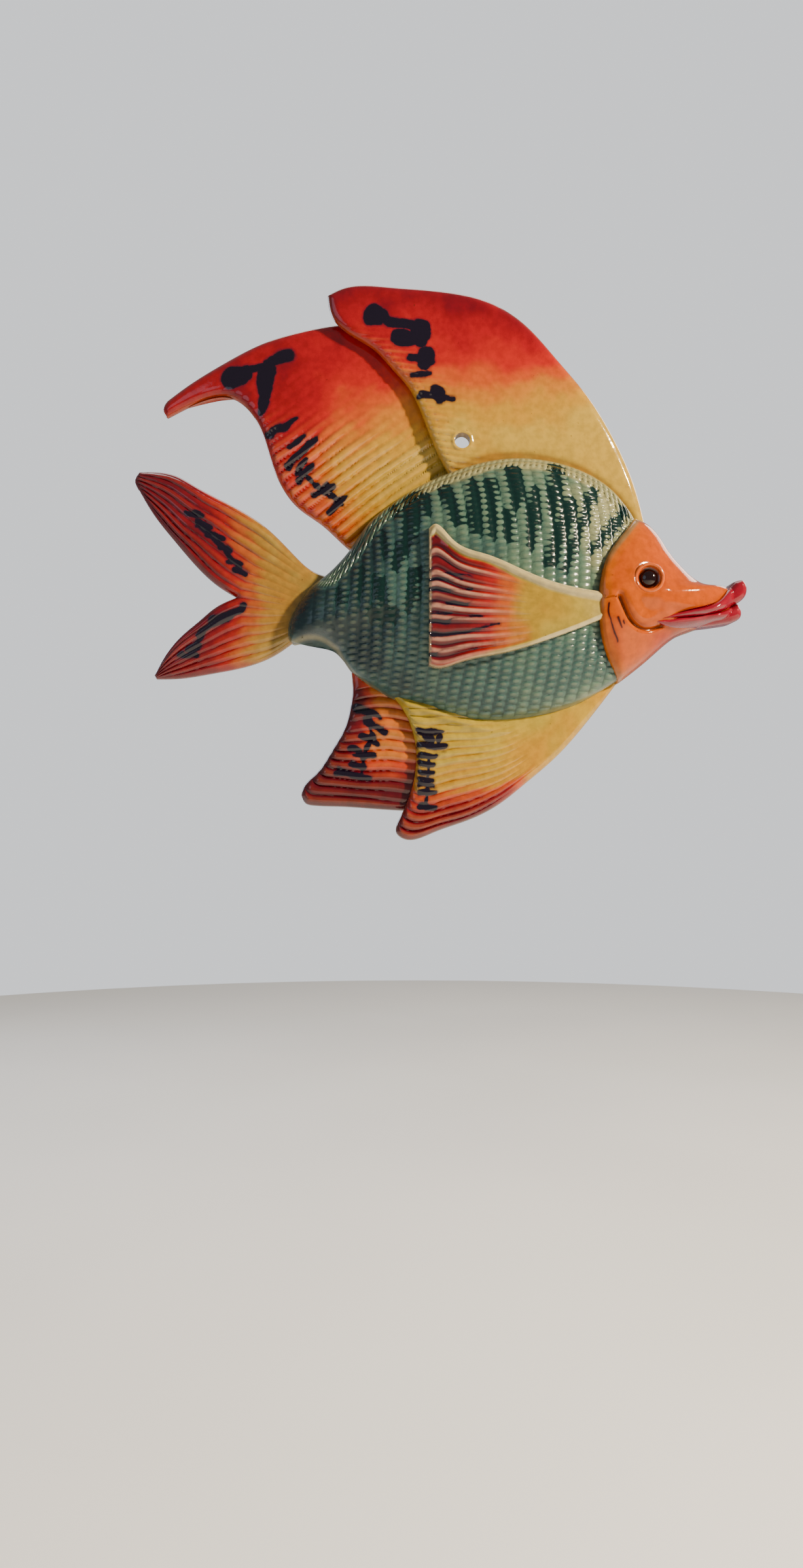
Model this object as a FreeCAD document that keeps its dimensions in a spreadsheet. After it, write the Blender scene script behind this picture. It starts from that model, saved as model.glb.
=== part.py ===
"""Glazed ceramic fish wall plaque: a parametric FreeCAD document of its fourteen clay pieces.

The plaque hangs by a round hole in its front dorsal fin. It is a hollow casting: a scaled body
shell and a head shell, both open at the back, stand on a back shell whose ring foot rests on the
wall. Dished fin plates are luted to the side walls of the shells, a pectoral fin lies on the body,
and two lips, an eye ring and an eyeball are set into the head.

Frame: millimetres, +X to the nose, +Z up, and the front of the fish looks along -Y. The origin is
on the axis of the hanging hole, in the middle of the fin plate. Heights are measured from the wall
towards the front, so a height of zero is the face of the wall.
"""
import FreeCAD, Part
import math
import os

import Sketcher

# name: (value in millimetres, what it is)
SIZES = {
    "fish_length": (220, "tail tips to lips, along X"),
    "fish_height": (198, "top of dorsal fin to tip of belly fin, along Z"),
    "hole_standoff": (15, "wall to the middle of the fin plate at the hanging hole"),
    "hole_diameter": (5.5, "hanging hole"),
    "fin_thickness": (5.5, "plate thickness of the outer fins"),
    "foot_height": (3, "ring foot, wall to the back of the plate"),
    "foot_diameter": (68, "ring foot, outside"),
    "foot_width": (6, "ring foot, width of the ring"),
    "plate_thickness": (5, "closing plate of the back shell"),
    "vent_diameter": (6, "kiln vent through the closing plate"),
    "shell_wall": (5, "wall of the body and head shells"),
    "body_spring": (14, "height at which the body's side wall turns into its dome"),
    "body_crown": (35, "height of the body's dome"),
    "head_spring": (13, "height at which the head's side wall turns into its dome"),
    "head_drop": (2, "crown of the head's dome below the body's"),
    "front_dorsal_fall": (9.3, "fall of the front dorsal fin from its crest to its front end"),
    "rear_dorsal_crest": (16, "height of the rear dorsal fin's crest"),
    "rear_dorsal_fall": (6, "fall of the rear dorsal fin from its crest to its tip"),
    "tail_crest": (17.5, "height of the tail's crest"),
    "tail_fall": (4.3, "fall of the tail from its crest to the body"),
    "rear_anal_crest": (18, "height of the rear anal fin's crest"),
    "rear_anal_fall": (3, "fall of the rear anal fin from its crest to the body"),
    "belly_crest": (20.5, "height of the belly fin's crest"),
    "belly_fall": (10.5, "fall of the belly fin from its crest to the throat"),
    "pectoral_proud": (3, "pectoral fin's crest above the body's dome"),
    "pectoral_fall": (5.5, "fall of the pectoral fin from its crest to the gill edge"),
    "lip_crest": (21, "height of the lips' crest"),
    "lip_fall": (4, "fall of the lips from their crest to the front of the mouth"),
    "eye_ring_diameter": (10.6, "eye ring, outside"),
    "eye_ring_wall": (1.3, "eye ring, width of its rim"),
    "eye_seat_depth": (4.6, "seat of the eye ring below the crown of the head's dome"),
    "eye_ring_depth": (4.2, "eye ring, seat to rim"),
    "eye_floor": (1.2, "floor of the eye ring"),
    "eyeball_gap": (0.95, "gap around the eyeball inside the rim of the eye ring"),
    "eyeball_radius": (3.5, "radius of the eyeball's dome"),
    "eyeball_proud": (0.2, "eyeball above the rim of the eye ring"),
    "tool_height": (60, "height of the cutting tools, above every piece"),
}

# Outlines are seen from the front. A point is (x, z): x in percent of fish_length and z in percent
# of fish_height, both from the hanging hole. An outline is a ring of runs, each a smooth curve
# through its points or straight lines between them, and each run starts where the last one ends.
BODY = [
    ("curve", [
        (-22.0, -24.0), (-18.2, -19.3), (-15.5, -14.9), (-11.3, -10.9), (-7.0, -7.8), (-2.8, -5.7),
        (3.6, -3.4), (10.0, -2.7), (15.3, -3.5), (20.6, -5.6), (24.8, -8.9), (27.8, -13.2)]),
    ("curve", [(27.8, -13.2), (29.9, -19.1), (30.1, -27.6), (28.5, -36.7), (25.3, -43.2)]),
    ("curve", [
        (25.3, -43.2), (20.4, -46.6), (15.1, -49.0), (9.8, -50.4), (4.6, -51.0), (-0.7, -50.4),
        (-6.0, -48.4), (-11.3, -46.7), (-14.3, -44.8), (-16.5, -43.1), (-18.4, -41.0),
        (-20.3, -37.6), (-22.8, -35.8), (-26.0, -35.8)]),
    ("curve", [
        (-26.0, -35.8), (-28.0, -36.1), (-28.5, -34.2), (-27.3, -30.2), (-25.0, -26.6),
        (-22.0, -24.0)]),
]
HEAD = [
    ("curve", [
        (27.6, -13.3), (29.6, -14.2), (31.6, -16.0), (33.7, -19.6), (35.9, -22.6), (38.0, -24.8),
        (40.1, -25.9), (42.2, -26.1), (43.6, -26.7), (43.9, -28.8)]),
    ("curve", [
        (43.9, -28.8), (43.7, -31.0), (42.8, -32.2), (41.0, -32.8), (38.0, -33.9), (35.3, -35.1),
        (32.7, -37.2), (29.4, -40.4), (25.6, -43.6)]),
    ("curve", [
        (25.6, -43.6), (20.8, -42.2), (16.3, -37.2), (14.5, -29.1), (16.3, -20.6), (21.7, -14.6),
        (27.6, -13.3)]),
]
CHEEK = [
    ("curve", [
        (27.6, -13.3), (29.6, -14.2), (31.6, -16.0), (33.7, -19.6), (35.6, -22.6), (36.8, -26.0)]),
    ("curve", [
        (36.8, -26.0), (35.5, -29.3), (30.8, -31.0), (28.2, -33.5), (28.8, -37.5), (28.6, -41.0),
        (25.6, -43.6)]),
    ("curve", [
        (25.6, -43.6), (20.8, -42.2), (16.3, -37.2), (14.5, -29.1), (16.3, -20.6), (21.7, -14.6),
        (27.6, -13.3)]),
]
GILL_EDGE = [
    ("curve", [
        (28.8, -13.1), (25.0, -18.1), (22.8, -21.6), (21.6, -25.6), (21.2, -29.6), (21.4, -33.1),
        (22.1, -37.1), (23.5, -40.5), (25.7, -44.2)]),
    ("line", [(25.7, -44.2), (27.0, -50.0), (50.0, -50.0), (50.0, -5.0), (30.0, -5.0), (28.8, -13.1)]),
]
# The closing plate has the body's outline, and the head's where the head stands beyond it.
BACK, NOSE, JAW, BELLY_LINE, PEDUNCLE = BODY[0], HEAD[0], HEAD[1], BODY[2], BODY[3]
CLOSING_PLATE = [
    BACK,
    ("curve", [BACK[1][-1]] + NOSE[1][1:]),
    ("curve", JAW[1][:-1] + [BELLY_LINE[1][0]]),
    BELLY_LINE,
    PEDUNCLE,
]
FRONT_DORSAL = [
    ("curve", [
        (-21.9, 26.4), (-19.9, 27.6), (-11.3, 28.1), (-2.7, 27.4), (3.7, 26.0), (10.1, 22.0),
        (15.6, 15.6), (20.9, 8.8), (25.2, 1.3), (29.0, -8.1), (30.5, -14.1)]),
    ("line", [(30.5, -14.1), (27.1, -18.1), (13.6, -15.1), (0.0, -12.6), (-2.4, -5.5)]),
    ("curve", [
        (-2.4, -5.5), (-3.4, -3.5), (-5.4, 1.5), (-7.0, 6.0), (-8.8, 9.8), (-11.3, 13.0),
        (-14.5, 16.7), (-18.8, 19.7), (-21.2, 22.6), (-21.9, 26.4)]),
]
REAR_DORSAL = [
    ("curve", [
        (-17.2, 22.5), (-21.9, 21.8), (-26.2, 20.8), (-32.6, 18.7), (-38.9, 15.3), (-45.5, 11.1),
        (-48.7, 8.7)]),
    ("curve", [
        (-48.7, 8.7), (-49.5, 7.1), (-48.7, 5.5), (-43.2, 8.1), (-40.0, 8.9), (-37.6, 8.5),
        (-35.4, 6.8), (-33.3, 3.5), (-31.0, -4.0), (-26.7, -11.7), (-22.9, -14.7), (-19.8, -17.8),
        (-17.9, -19.6)]),
    ("line", [
        (-17.9, -19.6), (-11.3, -19.1), (-0.9, -10.1), (0.0, 2.5), (-13.6, 21.1), (-17.2, 22.5)]),
]
TAIL_UPPER = [
    ("curve", [
        (-53.7, -6.0), (-52.9, -5.0), (-49.3, -5.1), (-46.7, -5.8), (-44.1, -7.4), (-38.2, -10.9),
        (-32.4, -14.9), (-27.1, -20.6), (-24.5, -23.0), (-21.5, -24.1)]),
    ("line", [(-21.5, -24.1), (-20.4, -27.1), (-23.5, -30.2), (-36.9, -28.1)]),
    ("curve", [
        (-36.9, -28.1), (-39.8, -26.1), (-43.0, -22.9), (-46.9, -17.9), (-50.2, -13.3),
        (-52.9, -8.5), (-53.7, -6.0)]),
]
TAIL_LOWER = [
    ("curve", [
        (-36.9, -28.1), (-39.8, -29.6), (-43.0, -32.4), (-46.2, -35.4), (-48.7, -38.8),
        (-50.4, -42.1)]),
    ("curve", [
        (-50.4, -42.1), (-50.0, -42.9), (-46.2, -42.8), (-40.9, -41.9), (-35.6, -40.7),
        (-30.8, -38.6), (-27.1, -35.7)]),
    ("line", [(-27.1, -35.7), (-23.5, -34.2), (-23.5, -30.2), (-36.9, -28.1)]),
]
REAR_ANAL = [
    ("curve", [
        (-18.1, -41.5), (-17.9, -45.2), (-18.2, -47.7), (-19.0, -51.3), (-21.3, -56.0),
        (-24.0, -60.3), (-26.2, -63.1)]),
    ("curve", [
        (-26.2, -63.1), (-26.2, -64.9), (-24.9, -65.7), (-19.7, -66.1), (-14.4, -66.5),
        (-8.6, -66.9)]),
    ("line", [
        (-8.6, -66.9), (-4.5, -64.3), (-3.6, -52.8), (-8.1, -44.2), (-13.6, -40.2), (-18.1, -41.5)]),
]
BELLY = [
    ("curve", [
        (-11.6, -45.7), (-9.4, -49.0), (-8.1, -52.5), (-7.5, -56.0), (-7.8, -60.7), (-9.0, -65.3),
        (-10.5, -68.8)]),
    ("curve", [
        (-10.5, -68.8), (-10.7, -70.8), (-9.7, -71.8), (-4.8, -70.8), (0.5, -68.7), (5.8, -65.8),
        (10.0, -62.2), (15.4, -57.1), (20.7, -50.6), (26.5, -42.5)]),
    ("line", [(26.5, -42.5), (20.4, -40.2), (0.0, -44.2), (-8.1, -43.2), (-11.6, -45.7)]),
]
PECTORAL = [
    ("curve", [
        (-5.6, -17.7), (-5.1, -16.7), (-2.0, -19.5), (3.1, -22.2), (9.2, -25.0), (14.3, -27.0),
        (22.6, -28.4)]),
    ("line", [(22.6, -28.4), (23.5, -32.2)]),
    ("curve", [
        (23.5, -32.2), (17.3, -35.1), (12.2, -37.2), (6.1, -39.2), (-1.0, -40.9), (-5.1, -41.7),
        (-5.6, -41.0)]),
    ("line", [(-5.6, -41.0), (-5.6, -17.7)]),
]
UPPER_LIP = [
    ("curve", [
        (29.9, -33.3), (34.8, -31.9), (39.4, -30.8), (41.6, -29.2), (43.1, -27.3), (44.1, -25.5)]),
    ("curve", [(44.1, -25.5), (45.5, -25.2), (46.2, -26.7), (45.8, -28.3), (44.6, -29.4)]),
    ("curve", [(44.6, -29.4), (41.6, -31.1), (36.2, -32.3), (29.9, -33.3)]),
]
LOWER_LIP = [
    ("curve", [(29.9, -33.3), (36.2, -32.3), (41.6, -31.1), (44.6, -29.4)]),
    ("curve", [(44.6, -29.4), (45.2, -30.5), (45.2, -31.8), (43.6, -32.9)]),
    ("curve", [(43.6, -32.9), (40.6, -33.4), (36.5, -33.9), (33.0, -34.1), (29.9, -33.3)]),
]

# Middles of the domes and crests of the dished plates, in the same percent as the outlines.
BODY_MIDDLE = (1.4, -26.6)
HEAD_MIDDLE = (23.5, -28.6)
EYE = (29.0, -26.0)
FOOT_MIDDLE = (2.3, -26.6)
FRONT_DORSAL_CREST = (-22.6, 5.0)
REAR_DORSAL_CREST = (-22.6, 2.5)
TAIL_CREST = (-45.2, -25.1)
REAR_ANAL_CREST = (-20.4, -62.8)
BELLY_CREST = (-11.3, -62.8)
PECTORAL_CREST = (2.3, -29.1)
LIP_CREST = (38.5, -30.2)

# How far each plate's fall is measured from its crest, in percent of fish_length.
FRONT_DORSAL_REACH = 55.2
REAR_DORSAL_REACH = 26.8
TAIL_REACH = 23.1
REAR_ANAL_REACH = 18.4
BELLY_REACH = 40.8
PECTORAL_REACH = 18.1
LIP_REACH = 7.0

# Angles up a dome, in degrees, at which its level sections are drawn.
DOME_ANGLES = (0, 20, 40, 58, 73, 84)

RIM = "Sizes.foot_height + Sizes.plate_thickness"
HEAD_CROWN = "Sizes.body_crown - Sizes.head_drop"
FIN = "Sizes.fin_thickness"
TOP = "Sizes.tool_height"

doc = FreeCAD.newDocument("FishPlaque")
sheet = doc.addObject("Spreadsheet::Sheet", "Sizes")
for row, (alias, (value, meaning)) in enumerate(SIZES.items(), start=1):
    sheet.set(f"A{row}", str(value))
    sheet.setAlias(f"A{row}", alias)
    sheet.set(f"B{row}", meaning)
doc.recompute()
length = sheet.fish_length
height_overall = sheet.fish_height
# The hollows are the shells' own outlines drawn in by the wall, at a quarter of the height.
INWARDS = 1 - sheet.shell_wall / (0.25 * height_overall)


def across(percent):
    """Return the expression for a place along X."""
    return f"Sizes.fish_length * {percent / 100:.5f}"


def up(percent):
    """Return the expression for a place along Z."""
    return f"Sizes.fish_height * {percent / 100:.5f}"


def front_face(height):
    """Return the Y expression of a height above the wall."""
    return f"Sizes.hole_standoff - ({height})"


def level_sketch(body, name, height, outline, middle=(0, 0), shrink=1.0):
    """Draw an outline at a height above the wall, drawn in towards its middle by shrink.

    The curves take their length and height from the sheet here; the sketch's own height follows
    the sheet by an expression.
    """
    plane = next(item for item in body.Origin.OriginFeatures if item.Role == "XZ_Plane")
    sketch = body.newObject("Sketcher::SketchObject", name)
    sketch.AttachmentSupport = [(plane, "")]
    sketch.MapMode = "FlatFace"
    sketch.setExpression("AttachmentOffset.Base.z", f"({height}) - Sizes.hole_standoff")
    edges = []
    for kind, points in outline:
        places = [FreeCAD.Vector(length * (middle[0] + (x - middle[0]) * shrink) / 100,
                                 height_overall * (middle[1] + (z - middle[1]) * shrink) / 100, 0)
                  for x, z in points]
        if kind == "line":
            edges.extend(Part.LineSegment(start, end) for start, end in zip(places, places[1:]))
        else:
            curve = Part.BSplineCurve()
            curve.interpolate(places)
            edges.append(curve)
    drawn = sketch.addGeometry(edges, False)
    sketch.addConstraint([Sketcher.Constraint("Block", edge) for edge in drawn])
    return sketch


def prism(name, outline, bottom="0", top=TOP):
    """Fill an outline from one height above the wall to another."""
    body = doc.addObject("PartDesign::Body", name)
    pad = body.newObject("PartDesign::Pad", f"{name}Pad")
    pad.Profile = level_sketch(body, f"{name}Outline", bottom, outline)
    pad.setExpression("Length", f"({top}) - ({bottom})")
    return body


def dome(name, outline, middle, bottom, spring, crown, shrink=1.0):
    """Raise an outline as a side wall from bottom to spring, and as a dome from there to crown.

    The level sections of the dome shrink towards the middle by the cosine of the angle up the
    dome while they rise by its sine, as on a quarter of an ellipse.
    """
    body = doc.addObject("PartDesign::Body", name)
    wall = body.newObject("PartDesign::Pad", f"{name}WallPad")
    wall.Profile = level_sketch(body, f"{name}Wall", bottom, outline, middle, shrink)
    wall.setExpression("Length", f"({spring}) - ({bottom})")
    sections = []
    for angle in DOME_ANGLES:
        inwards, rise = math.cos(math.radians(angle)), math.sin(math.radians(angle))
        level = f"({spring}) + (({crown}) - ({spring})) * {rise:.5f}"
        sections.append(level_sketch(body, f"{name}Level{angle}", level, outline, middle,
                                     shrink * inwards))
    doc.recompute()
    loft = body.newObject("PartDesign::AdditiveLoft", f"{name}Loft")
    loft.Profile = sections[0]
    loft.Sections = sections[1:]
    return body


def boolean(kind, name, base, tool):
    """Return a Part boolean (Common or Cut) of two objects."""
    result = doc.addObject(f"Part::{kind}", name)
    result.Base = base
    result.Tool = tool
    return result


def ball(name, centre_x, centre_y, centre_z, radius):
    """Return a sphere whose centre and radius are expressions."""
    sphere = doc.addObject("Part::Sphere", name)
    sphere.setExpression("Radius", radius)
    sphere.setExpression("Placement.Base.x", centre_x)
    sphere.setExpression("Placement.Base.y", centre_y)
    sphere.setExpression("Placement.Base.z", centre_z)
    return sphere


def rod(name, middle, diameter, bottom, top):
    """Return a cylinder along Y between two heights above the wall."""
    cylinder = doc.addObject("Part::Cylinder", name)
    cylinder.Placement.Rotation = FreeCAD.Rotation(FreeCAD.Vector(1, 0, 0), 90)
    cylinder.setExpression("Radius", f"({diameter}) / 2")
    cylinder.setExpression("Height", f"({top}) - ({bottom})")
    cylinder.setExpression("Placement.Base.x", across(middle[0]))
    cylinder.setExpression("Placement.Base.y", front_face(bottom))
    cylinder.setExpression("Placement.Base.z", up(middle[1]))
    return cylinder


def dish_radius(reach, fall):
    """Return the radius of a sphere that falls by fall at reach percent of fish_length."""
    span = f"({across(reach)})"
    return f"(({span})^2 + (Sizes.{fall})^2) / (2 * Sizes.{fall})"


def dished(name, blank, crest_place, reach, fall, centre_y, thickness=None):
    """Cut a blank to a domed plate: front and back are spheres about one centre."""
    radius = dish_radius(reach, fall)
    place = (across(crest_place[0]), centre_y, up(crest_place[1]))
    plate = boolean("Common", f"{name}Front", blank, ball(f"{name}FrontBall", *place, radius))
    if thickness is None:
        return plate
    inner = ball(f"{name}BackBall", *place, f"{radius} - {thickness}")
    return boolean("Cut", f"{name}Plate", plate, inner)


def crest_centre(reach, fall, crest):
    """Return the Y expression of the centre of a plate whose crest is at a stated height."""
    return f"{front_face(crest)} + {dish_radius(reach, fall)}"


def keep_clear(name, piece, *neighbours):
    """Cut every neighbour out of a piece, so that they meet face to face."""
    for number, neighbour in enumerate(neighbours, start=1):
        piece = boolean("Cut", f"{name}Clear{number}", piece, neighbour)
    return piece


nodes = {}

# Shells: full prisms of their outlines, domes, one common hollow, and the gill edge between them.
body_prism = prism("BodyPrism", BODY)
head_prism = prism("HeadPrism", HEAD)
gill_prism = prism("GillPrism", GILL_EDGE)
body_dome = dome("BodyDome", BODY, BODY_MIDDLE, RIM, "Sizes.body_spring", "Sizes.body_crown")
head_dome = dome("HeadDome", HEAD, HEAD_MIDDLE, RIM, "Sizes.head_spring", HEAD_CROWN)
body_hollow = dome("BodyHollow", BODY, BODY_MIDDLE, "0", "Sizes.body_spring",
                   "Sizes.body_crown - Sizes.shell_wall", INWARDS)
head_hollow = dome("HeadHollow", CHEEK, HEAD_MIDDLE, "0", "Sizes.head_spring",
                   f"{HEAD_CROWN} - Sizes.shell_wall", INWARDS)

nodes["body_shell"] = keep_clear("Body", body_dome, body_hollow, head_hollow, gill_prism)

# Lips: domed blocks between the closing plate and the lips' own crest.
lips = {}
for node, outline in (("upper_lip", UPPER_LIP), ("lower_lip", LOWER_LIP)):
    lips[node] = prism(f"{node}_blank", outline, RIM)
    nodes[node] = dished(node, lips[node], LIP_CREST, LIP_REACH, "lip_fall",
                         crest_centre(LIP_REACH, "lip_fall", "Sizes.lip_crest"))

# Eye: a cup-shaped ring seated in the head, with the eyeball on its floor.
EYE_SEAT = f"{HEAD_CROWN} - Sizes.eye_seat_depth"
EYE_RIM = f"{EYE_SEAT} + Sizes.eye_ring_depth"
EYE_FLOOR = f"{EYE_SEAT} + Sizes.eye_floor"
EYE_RECESS = "Sizes.eye_ring_diameter - 2 * Sizes.eye_ring_wall"
eye_seat = rod("EyeSeat", EYE, "Sizes.eye_ring_diameter", EYE_SEAT,
               TOP)
ring_blank = rod("EyeRingBlank", EYE, "Sizes.eye_ring_diameter", EYE_SEAT, EYE_RIM)
ring_recess = rod("EyeRecess", EYE, EYE_RECESS, EYE_FLOOR, TOP)
nodes["eye_ring"] = boolean("Cut", "EyeRing", ring_blank, ring_recess)
eye_core = rod("EyeballCore", EYE, f"{EYE_RECESS} - 2 * Sizes.eyeball_gap", EYE_FLOOR, TOP)
EYEBALL_TOP = f"({EYE_RIM}) + Sizes.eyeball_proud"
eye_ball = ball("EyeballBall", across(EYE[0]), front_face(f"{EYEBALL_TOP} - Sizes.eyeball_radius"),
                up(EYE[1]), "Sizes.eyeball_radius")
nodes["eyeball"] = boolean("Common", "Eyeball", eye_core, eye_ball)

head_casting = keep_clear("HeadCasting", head_dome, body_hollow, head_hollow)
head_outside = boolean("Common", "HeadOutside", head_casting, gill_prism)
nodes["head_shell"] = keep_clear("Head", head_outside, lips["upper_lip"], lips["lower_lip"],
                                 eye_seat)

# Back shell: closing plate with the outline of both shells, ring foot and kiln vent.
foot_blank = rod("FootBlank", FOOT_MIDDLE, "Sizes.foot_diameter", "0", "Sizes.foot_height")
foot_hollow = rod("FootHollow", FOOT_MIDDLE, "Sizes.foot_diameter - 2 * Sizes.foot_width",
                  "0", "Sizes.foot_height")
closing = doc.addObject("Part::Fuse", "ClosingPlate")
closing.Base = prism("Plate", CLOSING_PLATE, "Sizes.foot_height", RIM)
closing.Tool = boolean("Cut", "Foot", foot_blank, foot_hollow)
vent = rod("Vent", FOOT_MIDDLE, "Sizes.vent_diameter", "0", RIM)
nodes["back_shell"] = boolean("Cut", "BackShell", closing, vent)

# Front dorsal fin: its middle surface passes through the origin, where the hanging hole is.
front_dorsal_blank = prism("FrontDorsalBlank", FRONT_DORSAL)
dorsal_radius = dish_radius(FRONT_DORSAL_REACH, "front_dorsal_fall")
dorsal_centre = (f"sqrt(({dorsal_radius} - {FIN} / 2)^2 - ({across(FRONT_DORSAL_CREST[0])})^2"
                 f" - ({up(FRONT_DORSAL_CREST[1])})^2)")
front_dorsal_plate = dished("FrontDorsal", front_dorsal_blank, FRONT_DORSAL_CREST,
                            FRONT_DORSAL_REACH, "front_dorsal_fall", dorsal_centre, FIN)
hanging_hole = rod("HangingHole", (0, 0), "Sizes.hole_diameter", "0", TOP)
nodes["front_dorsal_fin"] = keep_clear("FrontDorsal", front_dorsal_plate, body_prism, head_prism,
                                       hanging_hole)

# The other outer fins: dished plates that meet the side walls and the fins over them.
belly_blank = prism("BellyBlank", BELLY)
OUTER_FINS = (
    ("rear_dorsal_fin", prism("RearDorsalBlank", REAR_DORSAL), REAR_DORSAL_CREST,
     REAR_DORSAL_REACH, "rear_dorsal_fall", "Sizes.rear_dorsal_crest", (body_prism, front_dorsal_blank)),
    ("tail_upper_lobe", prism("TailUpperBlank", TAIL_UPPER), TAIL_CREST,
     TAIL_REACH, "tail_fall", "Sizes.tail_crest", (body_prism,)),
    ("tail_lower_lobe", prism("TailLowerBlank", TAIL_LOWER), TAIL_CREST,
     TAIL_REACH, "tail_fall", "Sizes.tail_crest", (body_prism,)),
    ("belly_fin", belly_blank, BELLY_CREST,
     BELLY_REACH, "belly_fall", "Sizes.belly_crest", (body_prism, head_prism)),
    ("rear_anal_fin", prism("RearAnalBlank", REAR_ANAL), REAR_ANAL_CREST,
     REAR_ANAL_REACH, "rear_anal_fall", "Sizes.rear_anal_crest", (body_prism, belly_blank)),
)
for node, blank, crest_place, reach, fall, crest, neighbours in OUTER_FINS:
    plate = dished(node, blank, crest_place, reach, fall, crest_centre(reach, fall, crest), FIN)
    nodes[node] = keep_clear(node, plate, *neighbours)

# Pectoral fin: a pad on the body's dome that ends at the gill edge.
pectoral_blank = prism("PectoralBlank", PECTORAL, "Sizes.body_spring")
pectoral_pad = dished("Pectoral", pectoral_blank, PECTORAL_CREST, PECTORAL_REACH, "pectoral_fall",
                      crest_centre(PECTORAL_REACH, "pectoral_fall",
                                   "Sizes.body_crown + Sizes.pectoral_proud"))
nodes["pectoral_fin"] = keep_clear("Pectoral", pectoral_pad, gill_prism, body_dome)

for node, piece in nodes.items():
    piece.Label = node
doc.recompute()

# Nothing is written unless every object is sound and every piece is one closed solid.
for item in doc.Objects:
    if "Invalid" in item.State or "Error" in item.State:
        raise RuntimeError(f"{item.Name} did not compute: {item.getStatusString()}")
for node, piece in nodes.items():
    shape = piece.Shape
    if shape.isNull() or not shape.isValid() or len(shape.Solids) != 1:
        raise RuntimeError(f"{node} is not one sound solid: {len(shape.Solids)} solids")

os.makedirs("parts", exist_ok=True)
for node, piece in nodes.items():
    piece.Shape.exportStep(f"parts/{node}.step")
    box = piece.Shape.optimalBoundingBox()
    print(f"{node}: {piece.Shape.Volume / 1000:.2f} cm3, x {box.XMin:.1f} to {box.XMax:.1f},"
          f" y {box.YMin:.1f} to {box.YMax:.1f}, z {box.ZMin:.1f} to {box.ZMax:.1f}")
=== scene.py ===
"""Glazed ceramic fish wall plaque: airbrushed fins, beaded body, orange head and bisque back.

Every piece is a surface worked out as whole arrays: a plan (a patch between four rails, seen from
the front) and a height above the wall over that plan. Plans are in percent of the fish's length
and height from the hanging hole, heights are in millimetres, and meshes are in metres.
"""

import logging
import math
from abc import ABC, abstractmethod
from dataclasses import dataclass, field
from enum import Enum
from itertools import chain

import bmesh
import bpy
import numpy as np
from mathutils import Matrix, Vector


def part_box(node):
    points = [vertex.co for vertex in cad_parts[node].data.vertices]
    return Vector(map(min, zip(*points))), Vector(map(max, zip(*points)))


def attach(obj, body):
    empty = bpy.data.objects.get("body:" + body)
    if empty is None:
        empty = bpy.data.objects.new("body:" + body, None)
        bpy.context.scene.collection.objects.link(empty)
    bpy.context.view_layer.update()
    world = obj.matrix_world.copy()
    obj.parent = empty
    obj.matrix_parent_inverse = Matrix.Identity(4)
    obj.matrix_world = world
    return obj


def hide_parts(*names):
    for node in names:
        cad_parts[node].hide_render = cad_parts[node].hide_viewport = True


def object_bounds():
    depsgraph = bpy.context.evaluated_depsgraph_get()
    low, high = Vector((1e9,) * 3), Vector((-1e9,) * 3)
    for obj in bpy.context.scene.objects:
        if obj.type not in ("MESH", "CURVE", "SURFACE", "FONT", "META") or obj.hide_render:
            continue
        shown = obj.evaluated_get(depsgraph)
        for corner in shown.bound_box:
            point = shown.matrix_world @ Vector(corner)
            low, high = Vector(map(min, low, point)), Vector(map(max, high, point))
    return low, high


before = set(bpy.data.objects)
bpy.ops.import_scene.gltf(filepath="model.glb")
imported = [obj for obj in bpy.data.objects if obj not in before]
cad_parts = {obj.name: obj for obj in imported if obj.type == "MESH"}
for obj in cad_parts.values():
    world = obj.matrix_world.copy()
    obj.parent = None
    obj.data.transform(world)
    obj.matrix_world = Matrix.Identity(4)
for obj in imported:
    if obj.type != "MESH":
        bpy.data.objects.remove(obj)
CAD_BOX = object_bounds()

LOG = logging.getLogger("fish_plaque")
MM = 0.001
SPANS = (0.999, 1.0046)     # what the outlines span of the length and the height
FINE = 240                  # points on a smooth run
CROWDING = 0.6              # how much closer grid lines lie at the ends
NEAR = 9.0                  # within this distance of a line, in mm, it is found exactly
ROUGH_PACE = 7.0            # spacing of the points for a rough distance, in mm
BATCH = 4000                # places measured at a time
BARE = 6.0                  # ink distance where there is no ink, and the most kept of any
SMOOTH = 0.5                # relief where there is neither groove nor crest
LATTICE = 64                # side of the lattice of random values
RIB_KINDS = 200             # ribs before their unevenness repeats
RIB_MEAN = 0.42             # the mean height of a rib
EDGE_POWER = 2.6            # fullness of a fin's round edge
MERGE = 2e-6                # vertices closer than this are one, in metres
POLE = 0.001                # radius of the ring that closes a pole, in mm
SLIVER = 1e-7               # edges shorter than this are dissolved, in metres
SHARP = math.radians(50)    # edges that turn more than this are shaded sharp
Array = np.ndarray
Piece = bpy.types.Object
Points = list[tuple[float, float]]
Stroke = tuple[tuple[float, float], tuple[float, float], float]
Ring = tuple[object, object]


# ---------------------------------------------------------------- measures

@dataclass(frozen=True)
class Measures:
    """Overall sizes of the plaque, in millimetres, taken from the frame."""

    length: float
    height: float
    wall: float

    @classmethod
    def from_frame(cls) -> "Measures":
        """Read the sizes off the frame's box."""
        low, high = CAD_BOX
        return cls((high[0] - low[0]) / MM / SPANS[0], (high[2] - low[2]) / MM / SPANS[1],
                   high[1] / MM)

    def place(self, percent: object) -> Array:
        """Turn plan points in percent into millimetres."""
        return np.asarray(percent, float) * (self.length / 100, self.height / 100)

    def top_of(self, node: str) -> float:
        """Return the height above the wall of a node's front, in millimetres."""
        return self.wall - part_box(node)[0][1] / MM

    def seat_of(self, node: str) -> float:
        """Return the height above the wall of a node's back, in millimetres."""
        return self.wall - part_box(node)[1][1] / MM


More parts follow.
